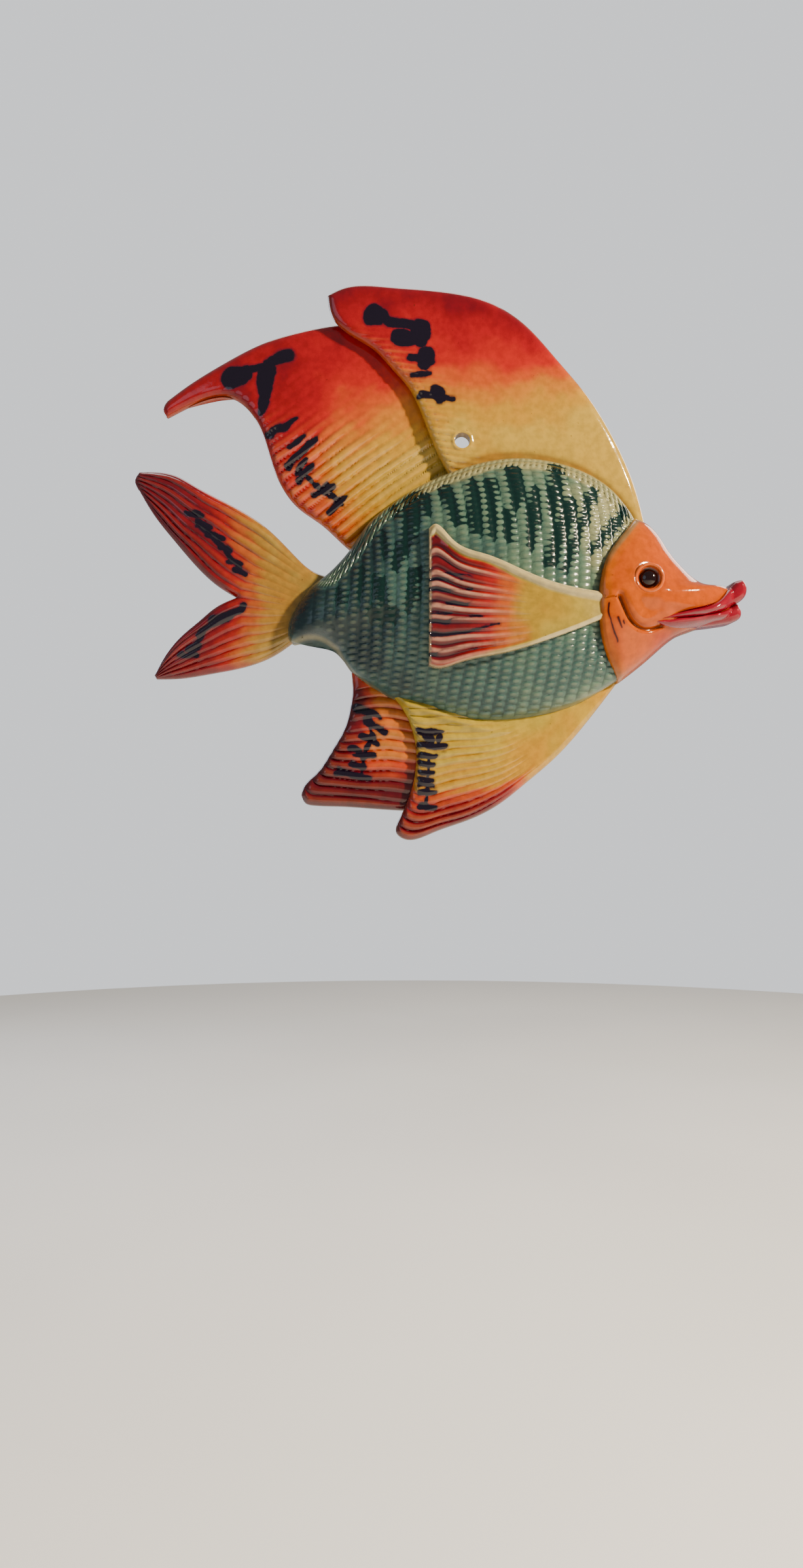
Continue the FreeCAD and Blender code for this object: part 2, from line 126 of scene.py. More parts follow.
SIZE = Measures.from_frame()


# ---------------------------------------------------------------- curves, fields and grids

def step(low: float, high: float, value: Array) -> Array:
    """Rise smoothly from 0 at low to 1 at high."""
    share = np.clip((value - low) / (high - low), 0, 1)
    return share * share * (3 - 2 * share)


def smooth_curve(points: Array, count: int) -> Array:
    """Draw a natural cubic spline through points, spaced by their chords.

    Args:
        points: Places to pass through, one row each.
        count: How many points to return.

    Returns:
        Points along the curve. Second derivatives solve the usual tridiagonal system, and each
        span is the cubic that they and its two ends fix.
    """
    knots = np.concatenate(([0], np.cumsum(np.linalg.norm(np.diff(points, axis=0), axis=1))))
    gaps, last = np.diff(knots), len(points) - 1
    system = np.eye(last + 1)
    right = np.zeros_like(points)
    inner = np.arange(1, last)
    system[inner, inner - 1] = gaps[:-1]
    system[inner, inner] = 2 * (gaps[:-1] + gaps[1:])
    system[inner, inner + 1] = gaps[1:]
    slopes = np.diff(points, axis=0) / gaps[:, None]
    right[1:-1] = 6 * np.diff(slopes, axis=0)
    bend = np.linalg.solve(system, right)
    along = np.linspace(0, knots[-1], count)
    span = np.clip(np.searchsorted(knots, along, side="right") - 1, 0, last - 1)
    gap, ahead, behind = gaps[span, None], (knots[span + 1] - along)[:, None], \
        (along - knots[span])[:, None]
    return ((bend[span] * ahead ** 3 + bend[span + 1] * behind ** 3) / (6 * gap)
            + (points[span] / gap - bend[span] * gap / 6) * ahead
            + (points[span + 1] / gap - bend[span + 1] * gap / 6) * behind)


@dataclass(frozen=True)
class Rail:
    """One side of a plan: smooth runs joined end to end, in percent."""

    runs: tuple[tuple[tuple[float, float], ...], ...]

    def line(self) -> Array:
        """Return the rail as a fine line in millimetres."""
        pieces = [smooth_curve(SIZE.place(run), FINE) if len(run) > 2
                  else np.linspace(*SIZE.place(run), FINE) for run in self.runs]
        return np.concatenate([pieces[0]] + [piece[1:] for piece in pieces[1:]])

    def at(self, share: Array) -> Array:
        """Return the places at shares of the rail's length."""
        line = self.line()
        run = np.concatenate(([0], np.cumsum(np.linalg.norm(np.diff(line, axis=0), axis=1))))
        return np.stack([np.interp(share * run[-1], run, line[:, axis]) for axis in (0, 1)], -1)


def rail(*runs: Points) -> Rail:
    """Make a rail from lists of points."""
    return Rail(tuple(tuple(run) for run in runs))


def crowded(count: int) -> Array:
    """Return shares from 0 to 1 that lie closer together towards both ends.

    They are the running sum of a spacing that falls as a squared cosine towards each end.
    """
    spacing = 1 - CROWDING * np.cos(np.linspace(0, 1, count) * math.pi) ** 2
    run = np.concatenate(([0], np.cumsum((spacing[1:] + spacing[:-1]) / 2)))
    return run / run[-1]


@dataclass(frozen=True)
class Patch:
    """The places of a plan in mm, with their shares across it (s) and up it (t)."""

    places: Array
    s: Array
    t: Array

    @property
    def x(self) -> Array:
        """Return the places' x in percent."""
        return self.places[..., 0] / SIZE.length * 100

    @property
    def z(self) -> Array:
        """Return the places' z in percent."""
        return self.places[..., 1] / SIZE.height * 100


@dataclass(frozen=True)
class Plan:
    """A patch between four rails: bottom and top run left to right, left and right run up."""

    bottom: Rail
    top: Rail
    left: Rail
    right: Rail
    across: int
    up: int

    def grid(self) -> Patch:
        """Return the patch that fills the four rails.

        The place is the blend of bottom and top, plus the blend of left and right, less the
        blend of the four corners (a Coons patch).
        """
        s, t = crowded(self.across), crowded(self.up)
        low, high = self.bottom.at(s), self.top.at(s)
        near, far = self.left.at(t), self.right.at(t)
        s, t = s[:, None, None], t[None, :, None]
        corners = (low[0] * (1 - s) * (1 - t) + low[-1] * s * (1 - t)
                   + high[0] * (1 - s) * t + high[-1] * s * t)
        places = (low[:, None] * (1 - t) + high[:, None] * t
                  + near[None] * (1 - s) + far[None] * s - corners)
        shape = places.shape[:2]
        return Patch(places, *(np.broadcast_to(share[..., 0], shape) for share in (s, t)))


def border(shape: tuple[int, int]) -> Array:
    """Return the indexes of a grid's outer ring, anticlockwise from the front."""
    index = np.arange(shape[0] * shape[1]).reshape(shape)
    return np.concatenate((index[:-1, 0], index[-1, :-1], index[:0:-1, -1], index[0, :0:-1]))


def away_from(places: Array, line: Array) -> Array:
    """Return how far every place is from a line of points.

    A rough distance is taken to points of the line about ROUGH_PACE mm apart. Where that is under
    NEAR, the nearest point of the line is found, and then the nearest place on the two pieces
    of line that meet there.
    """
    flat = places.reshape(-1, 2)
    pace = np.linalg.norm(np.diff(line, axis=0), axis=1).max()
    rough = np.concatenate((line[::max(1, int(ROUGH_PACE / max(pace, 0.01)))], line[-1:]))
    found = np.full(len(flat), np.inf)
    for x, z in rough:
        np.minimum(found, np.hypot(flat[:, 0] - x, flat[:, 1] - z), out=found)
    close = np.flatnonzero(found < NEAR)
    quick = line.astype(np.float32)
    for start in range(0, len(close), BATCH):
        spots = close[start:start + BATCH]
        part = flat[spots]
        nearest = ((part[:, :1].astype(np.float32) - quick[None, :, 0]) ** 2
                   + (part[:, 1:].astype(np.float32) - quick[None, :, 1]) ** 2).argmin(1)
        best = np.full(len(part), np.inf)
        for side in (-1, 0):
            first = np.clip(nearest + side, 0, len(line) - 2)
            run = line[first + 1] - line[first]
            off = part - line[first]
            share = np.clip((off * run).sum(1) / np.maximum((run ** 2).sum(1), 1e-12), 0, 1)
            best = np.minimum(best, np.linalg.norm(off - share[:, None] * run, axis=1))
        found[spots] = best
    return found.reshape(places.shape[:-1])


def from_border(places: Array) -> Array:
    """Return how far every place of a grid is from the grid's outer ring."""
    ring = places.reshape(-1, 2)[border(places.shape[:2])]
    return away_from(places, np.concatenate((ring, ring[:1])))


def round_over(gap: Array, reach: float, power: float = 2.0) -> Array:
    """Return a rounded rise from 0 at the edge to 1 at reach: the square root of 1 less
    (1 - gap / reach) to the power."""
    return np.sqrt(1 - (1 - np.clip(gap / reach, 0, 1)) ** power)


def bowl(places: Array, crest: tuple[float, float], reach: float, fall: float) -> Array:
    """Return how far a dished surface lies below its crest, as a negative height in mm.

    Args:
        places: Places in mm.
        crest: The highest place, in percent.
        reach: A distance from the crest, in percent of the length.
        fall: How far the surface has fallen there, in mm.

    Returns:
        The cap of the sphere that has this fall at this reach.
    """
    reach = SIZE.length * reach / 100
    radius = (reach ** 2 + fall ** 2) / (2 * fall)
    return np.sqrt(radius ** 2 - ((places - SIZE.place(crest)) ** 2).sum(-1)) - radius


def hump(away: Array, width: float) -> Array:
    """Return a soft hump: e to the minus (away / width) squared."""
    return np.exp(-(away / width) ** 2)


def painted(places: Array, fade: Array, relief: object = SMOOTH, ink: object = BARE,
            edge: object = BARE) -> dict[str, Array]:
    """Return the paint attributes of a grid.

    Args:
        places: The grid.
        fade: Place on the glaze's ramp.
        relief: 0 in a groove, 1 on a crest, SMOOTH where there is neither.
        ink: Distance outside the brush strokes in mm, BARE where there are none.
        edge: Distance from the edge in mm, kept to BARE at most.

    Returns:
        Each attribute over the whole grid.
    """
    shape = places.shape[:2]
    return {"fade": np.broadcast_to(fade, shape), "relief": np.broadcast_to(relief, shape),
            "ink": np.broadcast_to(ink, shape),
            "edge": np.broadcast_to(np.clip(edge, 0, BARE), shape)}


def brushed(places: Array, strokes: tuple[Stroke, ...]) -> Array:
    """Return the distance outside the nearest brush stroke, negative inside it, in mm.

    Args:
        places: Grid of places in mm.
        strokes: Start and end in percent, and width in mm, of each stroke.

    Returns:
        For each place, the least of its distances from the strokes' centre lines less half
        their widths, and never more than 6 mm.
    """
    found = np.full(places.shape[:-1], BARE)
    places = places + np.stack((mottle(places, 4.5, 71), mottle(places, 3.5, 72)), -1) * 0.8
    for start, end, width in strokes:
        a, b = SIZE.place(start), SIZE.place(end)
        run = b - a
        share = np.clip(((places - a) @ run) / max(run @ run, 1e-9), 0, 1)
        gap = np.linalg.norm(places - a - share[..., None] * run, axis=-1)
        found = np.minimum(found, gap - width / 2 * (1 - 0.35 * share ** 3))
    return found


def mottle(places: Array, size: float, seed: int) -> Array:
    """Return smooth blotches from -1 to 1, each about size mm across.

    Random values on a square lattice are joined by smoothed bilinear blending.
    """
    values = np.random.default_rng(seed).uniform(-1, 1, (LATTICE, LATTICE))
    spot = places / size + LATTICE / 2
    cell = np.floor(spot).astype(int)
    part = spot - cell
    part = part * part * (3 - 2 * part)
    i, j = cell[..., 0] % (LATTICE - 1), cell[..., 1] % (LATTICE - 1)
    low = values[i, j] * (1 - part[..., 0]) + values[i + 1, j] * part[..., 0]
    high = values[i, j + 1] * (1 - part[..., 0]) + values[i + 1, j + 1] * part[..., 0]
    return low * (1 - part[..., 1]) + high * part[..., 1]


def ribs(phase: Array, seed: int) -> Array:
    """Return rounded ribs from 0 in the grooves to 1 on the crests, each a little different."""
    uneven = np.random.default_rng(seed).uniform(0.55, 1.0, RIB_KINDS)
    which = np.floor(phase).astype(int) % RIB_KINDS
    return np.abs(np.sin(math.pi * phase)) ** 0.7 * uneven[which]


def ribbed(phase: Array, seed: int, strength: Array) -> Array:
    """Return the relief of ribs of a strength, SMOOTH on average."""
    return SMOOTH + (ribs(phase, seed) - RIB_MEAN) * strength


# ---------------------------------------------------------------- meshes

def raised(places: Array, heights: Array) -> Array:
    """Return the vertices of a plan at heights above the wall, one row each."""
    return np.stack((places[..., 0], SIZE.wall - heights, places[..., 1]), -1).reshape(-1, 3)


def quads(index: Array) -> Array:
    """Return the faces of a grid of vertex numbers."""
    return np.stack((index[:-1, :-1], index[1:, :-1], index[1:, 1:], index[:-1, 1:]),
                    -1).reshape(-1, 4)


def make_piece(name: str, places: Array, faces: list[list[int]],
               paint: dict[str, Array]) -> Piece:
    """Make one clay piece from whole arrays.

    Args:
        name: Name of the piece.
        places: Vertices in mm.
        faces: Vertex numbers of each face.
        paint: Vertex attributes.

    Returns:
        The object, closed, with its normals outwards and its doubles merged.
    """
    used = np.unique(np.fromiter(chain.from_iterable(faces), int))
    new = np.full(len(places), -1)
    new[used] = np.arange(len(used))
    mesh = bpy.data.meshes.new(name)
    mesh.from_pydata((places[used] * MM).tolist(), [], [new[f].tolist() for f in faces])
    for label, values in paint.items():
        layer = mesh.attributes.new(label, "FLOAT", "POINT")
        layer.data.foreach_set("value", np.ascontiguousarray(values.ravel()[used], np.float32))
    work = bmesh.new()
    work.from_mesh(mesh)
    bmesh.ops.remove_doubles(work, verts=work.verts, dist=MERGE)
    bmesh.ops.dissolve_degenerate(work, edges=work.edges, dist=SLIVER)
    bmesh.ops.recalc_face_normals(work, faces=work.faces)
    work.to_mesh(mesh)
    work.free()
    mesh.shade_smooth()
    mesh.set_sharp_from_angle(angle=SHARP)
    piece = bpy.data.objects.new(name, mesh)
    bpy.context.scene.collection.objects.link(piece)
    return piece


def casting(name: str, places: Array, heights: Array, foot: float,
            paint: dict[str, Array]) -> Piece:
    """Make a block whose front is a height over a plan, with side walls and a flat back.

    Args:
        name: Name of the piece.
        places: Plan, in mm.
        heights: Height above the wall at each place, in mm.
        foot: Height of the flat back.
        paint: Vertex attributes over the plan.

    Returns:
        The finished object.
    """
    shape = heights.shape
    front = raised(places, heights)
    ring = border(shape)
    rows, total = [ring], len(front)
    stack = [front]
    for share in (0.5, 1.0):
        row = front[ring].copy()
        row[:, 1] += share * (SIZE.wall - foot - row[:, 1])
        stack.append(row)
        rows.append(np.arange(len(ring)) + total)
        total += len(ring)
    faces = quads(np.arange(len(front)).reshape(shape)).tolist()
    for upper, lower in zip(rows, rows[1:]):
        faces += np.stack((upper, lower, np.roll(lower, -1), np.roll(upper, -1)), -1).tolist()
    faces.append(rows[-1][::-1].tolist())
    full = {label: np.concatenate([values.ravel()] + [values.ravel()[ring]] * 2)
            for label, values in paint.items()}
    return make_piece(name, np.concatenate(stack), faces, full)


def turned(name: str, centre: tuple[float, float], radius: Array, height: Array, around: int,
           paint: dict[str, Array]) -> Piece:
    """Make a closed piece of rings round an axis along Y.

    Args:
        name: Name of the piece.
        centre: Place of the axis in mm.
        radius: Radius of each ring at each step round it, from the axis at one end to the axis
            at the other.
        height: Height of each ring above the wall.
        around: How many steps in a turn.
        paint: Vertex attributes over the rings.

    Returns:
        The closed object: radius times cosine and sine give the plan of each ring.
    """
    turn = np.linspace(-math.pi, math.pi, around, endpoint=False)
    grid = np.stack((centre[0] + radius * np.cos(turn), SIZE.wall - height + 0 * turn,
                     centre[1] + radius * np.sin(turn)), -1)
    index = np.arange(grid[..., 0].size).reshape(grid.shape[:2])
    index = np.concatenate((index, index[:, :1]), 1)
    return make_piece(name, grid.reshape(-1, 3), quads(index).tolist(), paint)


def quarter(start: Ring, end: Ring, level: bool, steps: int = 7) -> list[Ring]:
    """Carry a ring along a quarter of an ellipse.

    Args:
        start: Radius and height of the first ring.
        end: Radius and height of the last ring.
        level: Whether it sets off level, or else straight down or up.
        steps: How many rings.

    Returns:
        The rings: one measure grows with the sine, the other with 1 less the cosine.
    """
    turn = np.linspace(0, math.pi / 2, steps)
    shares = (np.sin(turn), 1 - np.cos(turn)) if level else (1 - np.cos(turn), np.sin(turn))
    return [tuple(a + (b - a) * share for a, b, share in zip(start, end, pair))
            for pair in zip(*shares)]


# ---------------------------------------------------------------- finishes

Colour = tuple[float, float, float]


def colour(red: float, green: float, blue: float) -> tuple[float, float, float, float]:
    """Turn a colour as the eye reads it, 0 to 255, into linear light."""
    parts = [value / 255 for value in (red, green, blue)]
    return (*[part / 12.92 if part <= 0.04045 else ((part + 0.055) / 1.055) ** 2.4
              for part in parts], 1.0)


class Draft:
    """A material's node tree while it is being laid out."""

    def __init__(self, name: str) -> None:
        """Start an empty material with its output and shader."""
        self.material = bpy.data.materials.new(name)
        self.material.use_nodes = True
        self.tree = self.material.node_tree
        self.tree.nodes.clear()
        self.shader = self.tree.nodes.new("ShaderNodeBsdfPrincipled")
        out = self.tree.nodes.new("ShaderNodeOutputMaterial")
        self.tree.links.new(self.shader.outputs[0], out.inputs[0])
        self.coordinates = self.tree.nodes.new("ShaderNodeTexCoord").outputs["Object"]

    def put(self, socket: bpy.types.NodeSocket, value: object) -> None:
        """Link or set an input."""
        if isinstance(value, bpy.types.NodeSocket):
            self.tree.links.new(value, socket)
        else:
            socket.default_value = value

    def math(self, kind: str, a: object, b: object) -> object:
        """Return a sum of two values."""
        node = self.tree.nodes.new("ShaderNodeMath")
        node.operation = kind
        self.put(node.inputs[0], a)
        self.put(node.inputs[1], b)
        return node.outputs[0]

    def swayed(self, value: object, by: object, amount: float) -> object:
        """Return a value moved up or down by how far another is from 0.5, times an amount."""
        return self.math("ADD", value,
                         self.math("MULTIPLY", self.math("SUBTRACT", by, 0.5), amount))

    def attribute(self, name: str) -> object:
        """Return a vertex attribute."""
        node = self.tree.nodes.new("ShaderNodeAttribute")
        node.attribute_name = name
        return node.outputs["Fac"]

    def noise(self, scale: float, detail: float = 3.0, seed: float = 0.0) -> object:
        """Return noise on Object coordinates, about 0.5 on average."""
        node = self.tree.nodes.new("ShaderNodeTexNoise")
        node.noise_dimensions = "4D"
        self.put(node.inputs["Vector"], self.coordinates)
        self.put(node.inputs["W"], seed)
        self.put(node.inputs["Scale"], scale)
        self.put(node.inputs["Detail"], detail)
        return node.outputs["Fac"]

    def rise(self, value: object, low: float, high: float) -> object:
        """Return a smooth rise from 0 at low to 1 at high."""
        node = self.tree.nodes.new("ShaderNodeMapRange")
        node.interpolation_type = "SMOOTHSTEP"
        self.put(node.inputs["Value"], value)
        self.put(node.inputs["From Min"], low)
        self.put(node.inputs["From Max"], high)
        return node.outputs["Result"]

    def fall(self, value: object, low: float, high: float) -> object:
        """Return a smooth fall from 1 at low to 0 at high."""
        return self.math("SUBTRACT", 1.0, self.rise(value, low, high))

    def mix(self, share: object, a: object, b: object, kind: str = "MIX") -> object:
        """Return colour a with a share of colour b laid over it."""
        node = self.tree.nodes.new("ShaderNodeMix")
        node.data_type, node.blend_type = "RGBA", kind
        self.put(node.inputs[0], share)
        self.put(node.inputs[6], a)
        self.put(node.inputs[7], b)
        return node.outputs[2]

    def over(self, base: object, share: object, amount: float, shade: Colour) -> object:
        """Return a colour with a shade laid over it by a share times an amount."""
        return self.mix(self.math("MULTIPLY", share, amount), base, colour(*shade))

    def ramp(self, value: object, stops: tuple[tuple[float, Colour], ...]) -> object:
        """Return the colour of a value on a ramp of stops."""
        node = self.tree.nodes.new("ShaderNodeValToRGB")
        node.color_ramp.interpolation = "EASE"
        elements = node.color_ramp.elements
        for number, (place, shade) in enumerate(stops):
            element = elements[number] if number < 2 else elements.new(place)
            element.position, element.color = place, colour(*shade)
        self.put(node.inputs[0], value)
        return node.outputs["Color"]

    def bump(self, height: object, depth: float, under: object = None) -> object:
        """Return a normal bumped by a height, in metres of depth."""
        node = self.tree.nodes.new("ShaderNodeBump")
        node.inputs["Distance"].default_value = depth
        self.put(node.inputs["Height"], height)
        if under is not None:
            self.put(node.inputs["Normal"], under)
        return node.outputs["Normal"]

    def finish(self, inputs: dict[str, object]) -> bpy.types.Material:
        """Set or link the shader's inputs and return the material."""
        for label, value in inputs.items():
            self.put(self.shader.inputs[label], value)
        return self.material


GRAIN = ((0.3, (150, 150, 150)), (0.7, (255, 255, 255)))
GRIT = ((0.35, (165, 150, 130)), (0.65, (255, 255, 255)))
CLAY = ((0.3, (205, 190, 165)), (0.7, (232, 222, 203)))
IRON_SPECK = (48, 24, 14)
CLAY_SPECK = (110, 85, 60)
GLAZE_RUN = (150, 150, 110)


@dataclass(frozen=True)
class Glaze:
    """A glossy glaze over airbrushed underglaze colours.

    The base colour comes from the fade attribute on the ramp. Grooves (relief towards 0) pool
    darker; some pieces also lower their relief to lay the groove colour as painted shade. Crests go
    towards the crest colour, edges go towards the rim colour, and brushed ink lies over it all, in
    a halo where the brush was wet.
    """

    name: str
    stops: tuple[tuple[float, Colour], ...]
    crest: Colour = (190, 140, 90)
    crest_share: float = 0.25
    groove: Colour = (70, 24, 12)
    groove_share: float = 0.45
    rim: Colour = (190, 120, 50)
    rim_share: float = 0.2
    ink: Colour = (14, 6, 22)
    ink_rough: float = 0.9
    halo: Colour = (50, 10, 30)
    lift: float = 0.0
    gloss: float = 0.07
    shine: float = 0.3
    coat: float = 0.35

    def make(self) -> bpy.types.Material:
        """Lay out the material."""
        draft = Draft(self.name)
        blotch = draft.noise(55, 4, 1.7)
        relief = draft.attribute("relief")
        tone = draft.swayed(draft.swayed(draft.attribute("fade"), blotch, 0.16),
                            relief, self.lift)
        edge = draft.swayed(draft.attribute("edge"), blotch, 1.2)
        ink = draft.swayed(draft.attribute("ink"), draft.noise(700, 3, 6.0), self.ink_rough)
        speck = draft.rise(draft.noise(900, 1, 9.3), 0.74, 0.78)
        base = draft.ramp(tone, self.stops)
        base = draft.over(base, draft.fall(relief, 0.0, 0.45), self.groove_share, self.groove)
        base = draft.over(base, draft.rise(relief, 0.55, 1.0), self.crest_share, self.crest)
        base = draft.over(base, draft.fall(edge, 0.1, 1.3), self.rim_share, self.rim)
        base = draft.mix(0.32, base, draft.ramp(draft.noise(420, 5, 4.1), GRAIN), "MULTIPLY")
        base = draft.over(base, speck, 0.5, IRON_SPECK)
        base = draft.over(base, draft.fall(ink, 0.0, 0.9), 0.45, self.halo)
        base = draft.mix(draft.fall(ink, -0.25, 0.22), base, colour(*self.ink))
        rough = draft.math("ADD", self.gloss,
                           draft.math("MULTIPLY", draft.noise(160, 3, 2.2), 0.06))
        waves = draft.bump(draft.noise(190, 2, 3.0), 0.00016)
        return draft.finish({"Base Color": base, "Roughness": rough,
                             "Specular IOR Level": self.shine, "Coat Weight": self.coat,
                             "Coat Roughness": 0.07,
                             "Normal": draft.bump(draft.noise(1300, 2, 5.0), 0.00002, waves)})


@dataclass(frozen=True)
class Bisque:
    """Unglazed fired clay with a trace of glaze that has run over its edge."""

    name: str = "Bisque"

    def make(self) -> bpy.types.Material:
        """Lay out the material: pale clay, mottled, gritty, dusty in its pores."""
        draft = Draft(self.name)
        grit = draft.noise(1600, 4, 2.0)
        speck = draft.rise(draft.noise(1100, 1, 8.0), 0.72, 0.76)
        run = draft.fall(draft.swayed(draft.attribute("edge"), draft.noise(90, 3, 5.0), 9.0),
                         0.2, 1.4)
        base = draft.ramp(draft.noise(35, 5, 1.0), CLAY)
        base = draft.mix(0.35, base, draft.ramp(grit, GRIT), "MULTIPLY")
        base = draft.over(base, speck, 0.6, CLAY_SPECK)
        base = draft.over(base, run, 0.75, GLAZE_RUN)
        rough = draft.math("SUBTRACT", 0.86, draft.math("MULTIPLY", run, 0.6))
        return draft.finish({"Base Color": base, "Roughness": rough,
                             "Normal": draft.bump(grit, 0.00012)})


@dataclass(frozen=True)
class Plain:
    """A plain studio surface."""

    name: str
    shade: Colour
    rough: float

    def make(self) -> bpy.types.Material:
        """Lay out the material, with a faint unevenness."""
        draft = Draft(self.name)
        pale = tuple(min(255, part + 6) for part in self.shade)
        base = draft.ramp(draft.noise(3, 2), ((0.3, self.shade), (0.7, pale)))
        return draft.finish({"Base Color": base, "Roughness": self.rough})


FIRE = ((0.0, (101, 3, 16)), (0.18, (142, 7, 16)), (0.36, (162, 25, 16)),
        (0.52, (175, 69, 22)), (0.7, (173, 105, 31)), (0.86, (172, 128, 36)),
        (1.0, (173, 142, 53)))
# A darker copy of the fire ramp: the tail's own deep crimson, darkened further as painted shade of
# the fish's left side.
SHADED_TAIL_FIRE = ((0.0, (82, 3, 13)), (0.25, (105, 7, 16)), (0.45, (134, 22, 18)),
             (0.65, (147, 69, 25)), (0.82, (139, 101, 36)), (1.0, (139, 118, 53)))
FIN_GLAZE = Glaze("Fire_glaze", FIRE, crest=(191, 139, 63), crest_share=0.2, groove=(75, 29, 18),
    groove_share=0.42, lift=0.15)
TAIL_GLAZE = Glaze("Tail_glaze", SHADED_TAIL_FIRE, crest=(173, 80, 39), crest_share=0.08,
    groove=(56, 3, 10), groove_share=0.42, rim=(118, 25, 22), lift=0.2)
# Its crimson stops are darkened as painted shade of the fish's lower left, and its dark olive top
# stops are the body's painted shadow on the rear anal fin.
SHADED_VENTRAL_GLAZE = Glaze("Ventral_glaze",
    ((0.0, (66, 3, 13)), (0.25, (93, 7, 16)), (0.5, (158, 47, 20)), (0.68, (173, 93, 29)),
     (0.84, (129, 89, 36)), (1.0, (108, 77, 39))), crest=(188, 124, 63), crest_share=0.08,
    groove=(48, 3, 10), groove_share=0.35, rim=(85, 10, 16), lift=0.25)
BELLY_GLAZE = Glaze("Belly_glaze",
    ((0.0, (80, 3, 16)), (0.2, (115, 10, 18)), (0.42, (162, 60, 22)), (0.62, (166, 121, 29)),
     (1.0, (162, 139, 43))), crest=(188, 162, 89), crest_share=0.08, groove=(69, 33, 13),
    groove_share=0.35, rim=(162, 111, 39), rim_share=0.1, lift=0.3)
PECTORAL_GLAZE = Glaze("Pectoral_glaze",
    ((0.0, (89, 7, 16)), (0.28, (144, 25, 20)), (0.5, (162, 75, 25)), (0.68, (147, 118, 34)),
     (0.84, (149, 129, 48)), (1.0, (173, 158, 111))), crest=(188, 137, 115), crest_share=0.75,
    groove=(31, 3, 13), groove_share=0.95, rim=(188, 173, 129), rim_share=0.6)
BODY_GLAZE = Glaze("Bead_glaze",
    ((0.0, (25, 45, 48)), (0.35, (53, 81, 77)), (0.62, (80, 105, 89)), (1.0, (139, 137, 97))),
    crest=(124, 134, 108), crest_share=0.3, groove=(22, 45, 44), groove_share=0.5,
    rim=(134, 126, 85), rim_share=0.5, ink=(7, 33, 31), ink_rough=1.1, halo=(22, 63, 60),
    gloss=0.2, coat=0.05)
HEAD_GLAZE = Glaze("Orange_glaze",
    ((0.0, (155, 45, 0)), (0.4, (170, 70, 0)), (0.7, (172, 81, 0)), (1.0, (134, 101, 63))),
    crest=(203, 124, 25), crest_share=0.1, groove=(69, 22, 3), groove_share=0.75,
    rim=(173, 101, 16), rim_share=0.2, ink=(48, 13, 10), ink_rough=0.25, halo=(137, 48, 13),
    shine=0.2, coat=0.12)
LIP_GLAZE = Glaze("Crimson_glaze",
    ((0.0, (97, 3, 22)), (0.6, (129, 10, 33)), (1.0, (162, 48, 63))), crest_share=0.0,
    rim_share=0.0, coat=0.1)
EYE_GLAZE = Glaze("Eye_rim_glaze",
    ((0.0, (48, 16, 3)), (0.3, (93, 33, 7)), (0.6, (188, 75, 7)), (1.0, (196, 105, 39))),
    rim_share=0.0)
PUPIL_GLAZE = Glaze("Pupil_glaze", ((0.0, (18, 3, 3)), (1.0, (39, 13, 10))), rim_share=0.0,
    crest_share=0.0, gloss=0.04)


# ---------------------------------------------------------------- fins

@dataclass
class FinPlate(ABC):
    """A dished fin plate with a full round edge, ribs and airbrushed colour.

    Its front is a sphere about an axis through its crest, levelled on the frame's plate, its
    back is parallel to it, and both meet in a half round along the edge: at a distance d from
    the edge the half thickness is r times the square root of 1 less (1 - d / roll) to the 2.6.
    """

    name: str
    node: str
    slot: str
    glaze: Glaze
    plan: Plan
    crest: tuple[float, float]
    reach: float
    fall: float
    marks: tuple[Stroke, ...] = ()
    thickness: float = 5.5
    roll: float = 3.8
    rib: float = 0.8

    @abstractmethod
    def relief(self, at: Patch) -> Array:
        """Return the ribs, from 0 in a groove to 1 on a crest, SMOOTH where there are none."""

    @abstractmethod
    def tone(self, at: Patch) -> Array:
        """Return the airbrushed fade, 0 for crimson to 1 for olive yellow."""

    def dish(self, places: Array) -> Array:
        """Return the height of the dished front, levelled on the frame's plate."""
        height = bowl(places, self.crest, self.reach, self.fall)
        return height - height.max() + SIZE.top_of(self.node)

    def shaped(self) -> Patch:
        """Return the plan's patch, before the surface is raised."""
        return self.plan.grid()

    def extra(self, places: Array) -> Array:
        """Return any further height of the front, in mm."""
        return np.zeros(places.shape[:-1])

    def faces(self, index: Array, back: Array) -> list[list[int]]:
        """Return the faces of the front, the back and the strip round their edge."""
        return quads(index).tolist() + quads(back)[:, ::-1].tolist() + self.strip(index, back)

    def strip(self, index: Array, back: Array) -> list[list[int]]:
        """Return the faces between the front's and the back's outer rings."""
        ring = border(index.shape)
        a, b = index.ravel()[ring], back.ravel()[ring]
        return np.stack((a, b, np.roll(b, -1), np.roll(a, -1)), -1).tolist()

    def free_edge(self, places: Array) -> Array:
        """Return the distance from the nearest of the plan's four edges."""
        edges = (places[:, 0], places[-1], places[::-1, -1], places[0, ::-1])
        return np.min([away_from(places, edge) for edge in edges], axis=0)

    def build(self) -> Piece:
        """Build the plate and dress it."""
        at = self.shaped()
        places, gap = at.places, self.free_edge(at.places)
        swell = self.thickness / 2 * round_over(gap, self.roll, EDGE_POWER)
        middle = self.dish(places) - self.thickness / 2
        relief, settle = self.relief(at) - SMOOTH, step(0.2, 2.2, gap)
        front = middle + swell + settle * (relief * self.rib + self.extra(places)
                                           + 0.25 * mottle(places, 14, 5))
        tone = self.tone(at) + 0.07 * mottle(places, 9, 11) + 0.04 * mottle(places, 4, 12)
        ink = brushed(places, self.marks) - 0.2 - relief * 0.8
        sides = (painted(places, tone, SMOOTH + relief * settle, ink, gap),
                 painted(places, tone, edge=gap))
        both = {label: np.concatenate([side[label].ravel() for side in sides])
                for label in sides[0]}
        index = np.arange(gap.size).reshape(gap.shape)
        vertices = np.concatenate((raised(places, front), raised(places, middle - swell)))
        piece = make_piece(self.name, vertices, self.faces(index, index + gap.size), both)
        return dress(piece, self.glaze, self.node)


MATERIALS: dict[str, bpy.types.Material] = {}


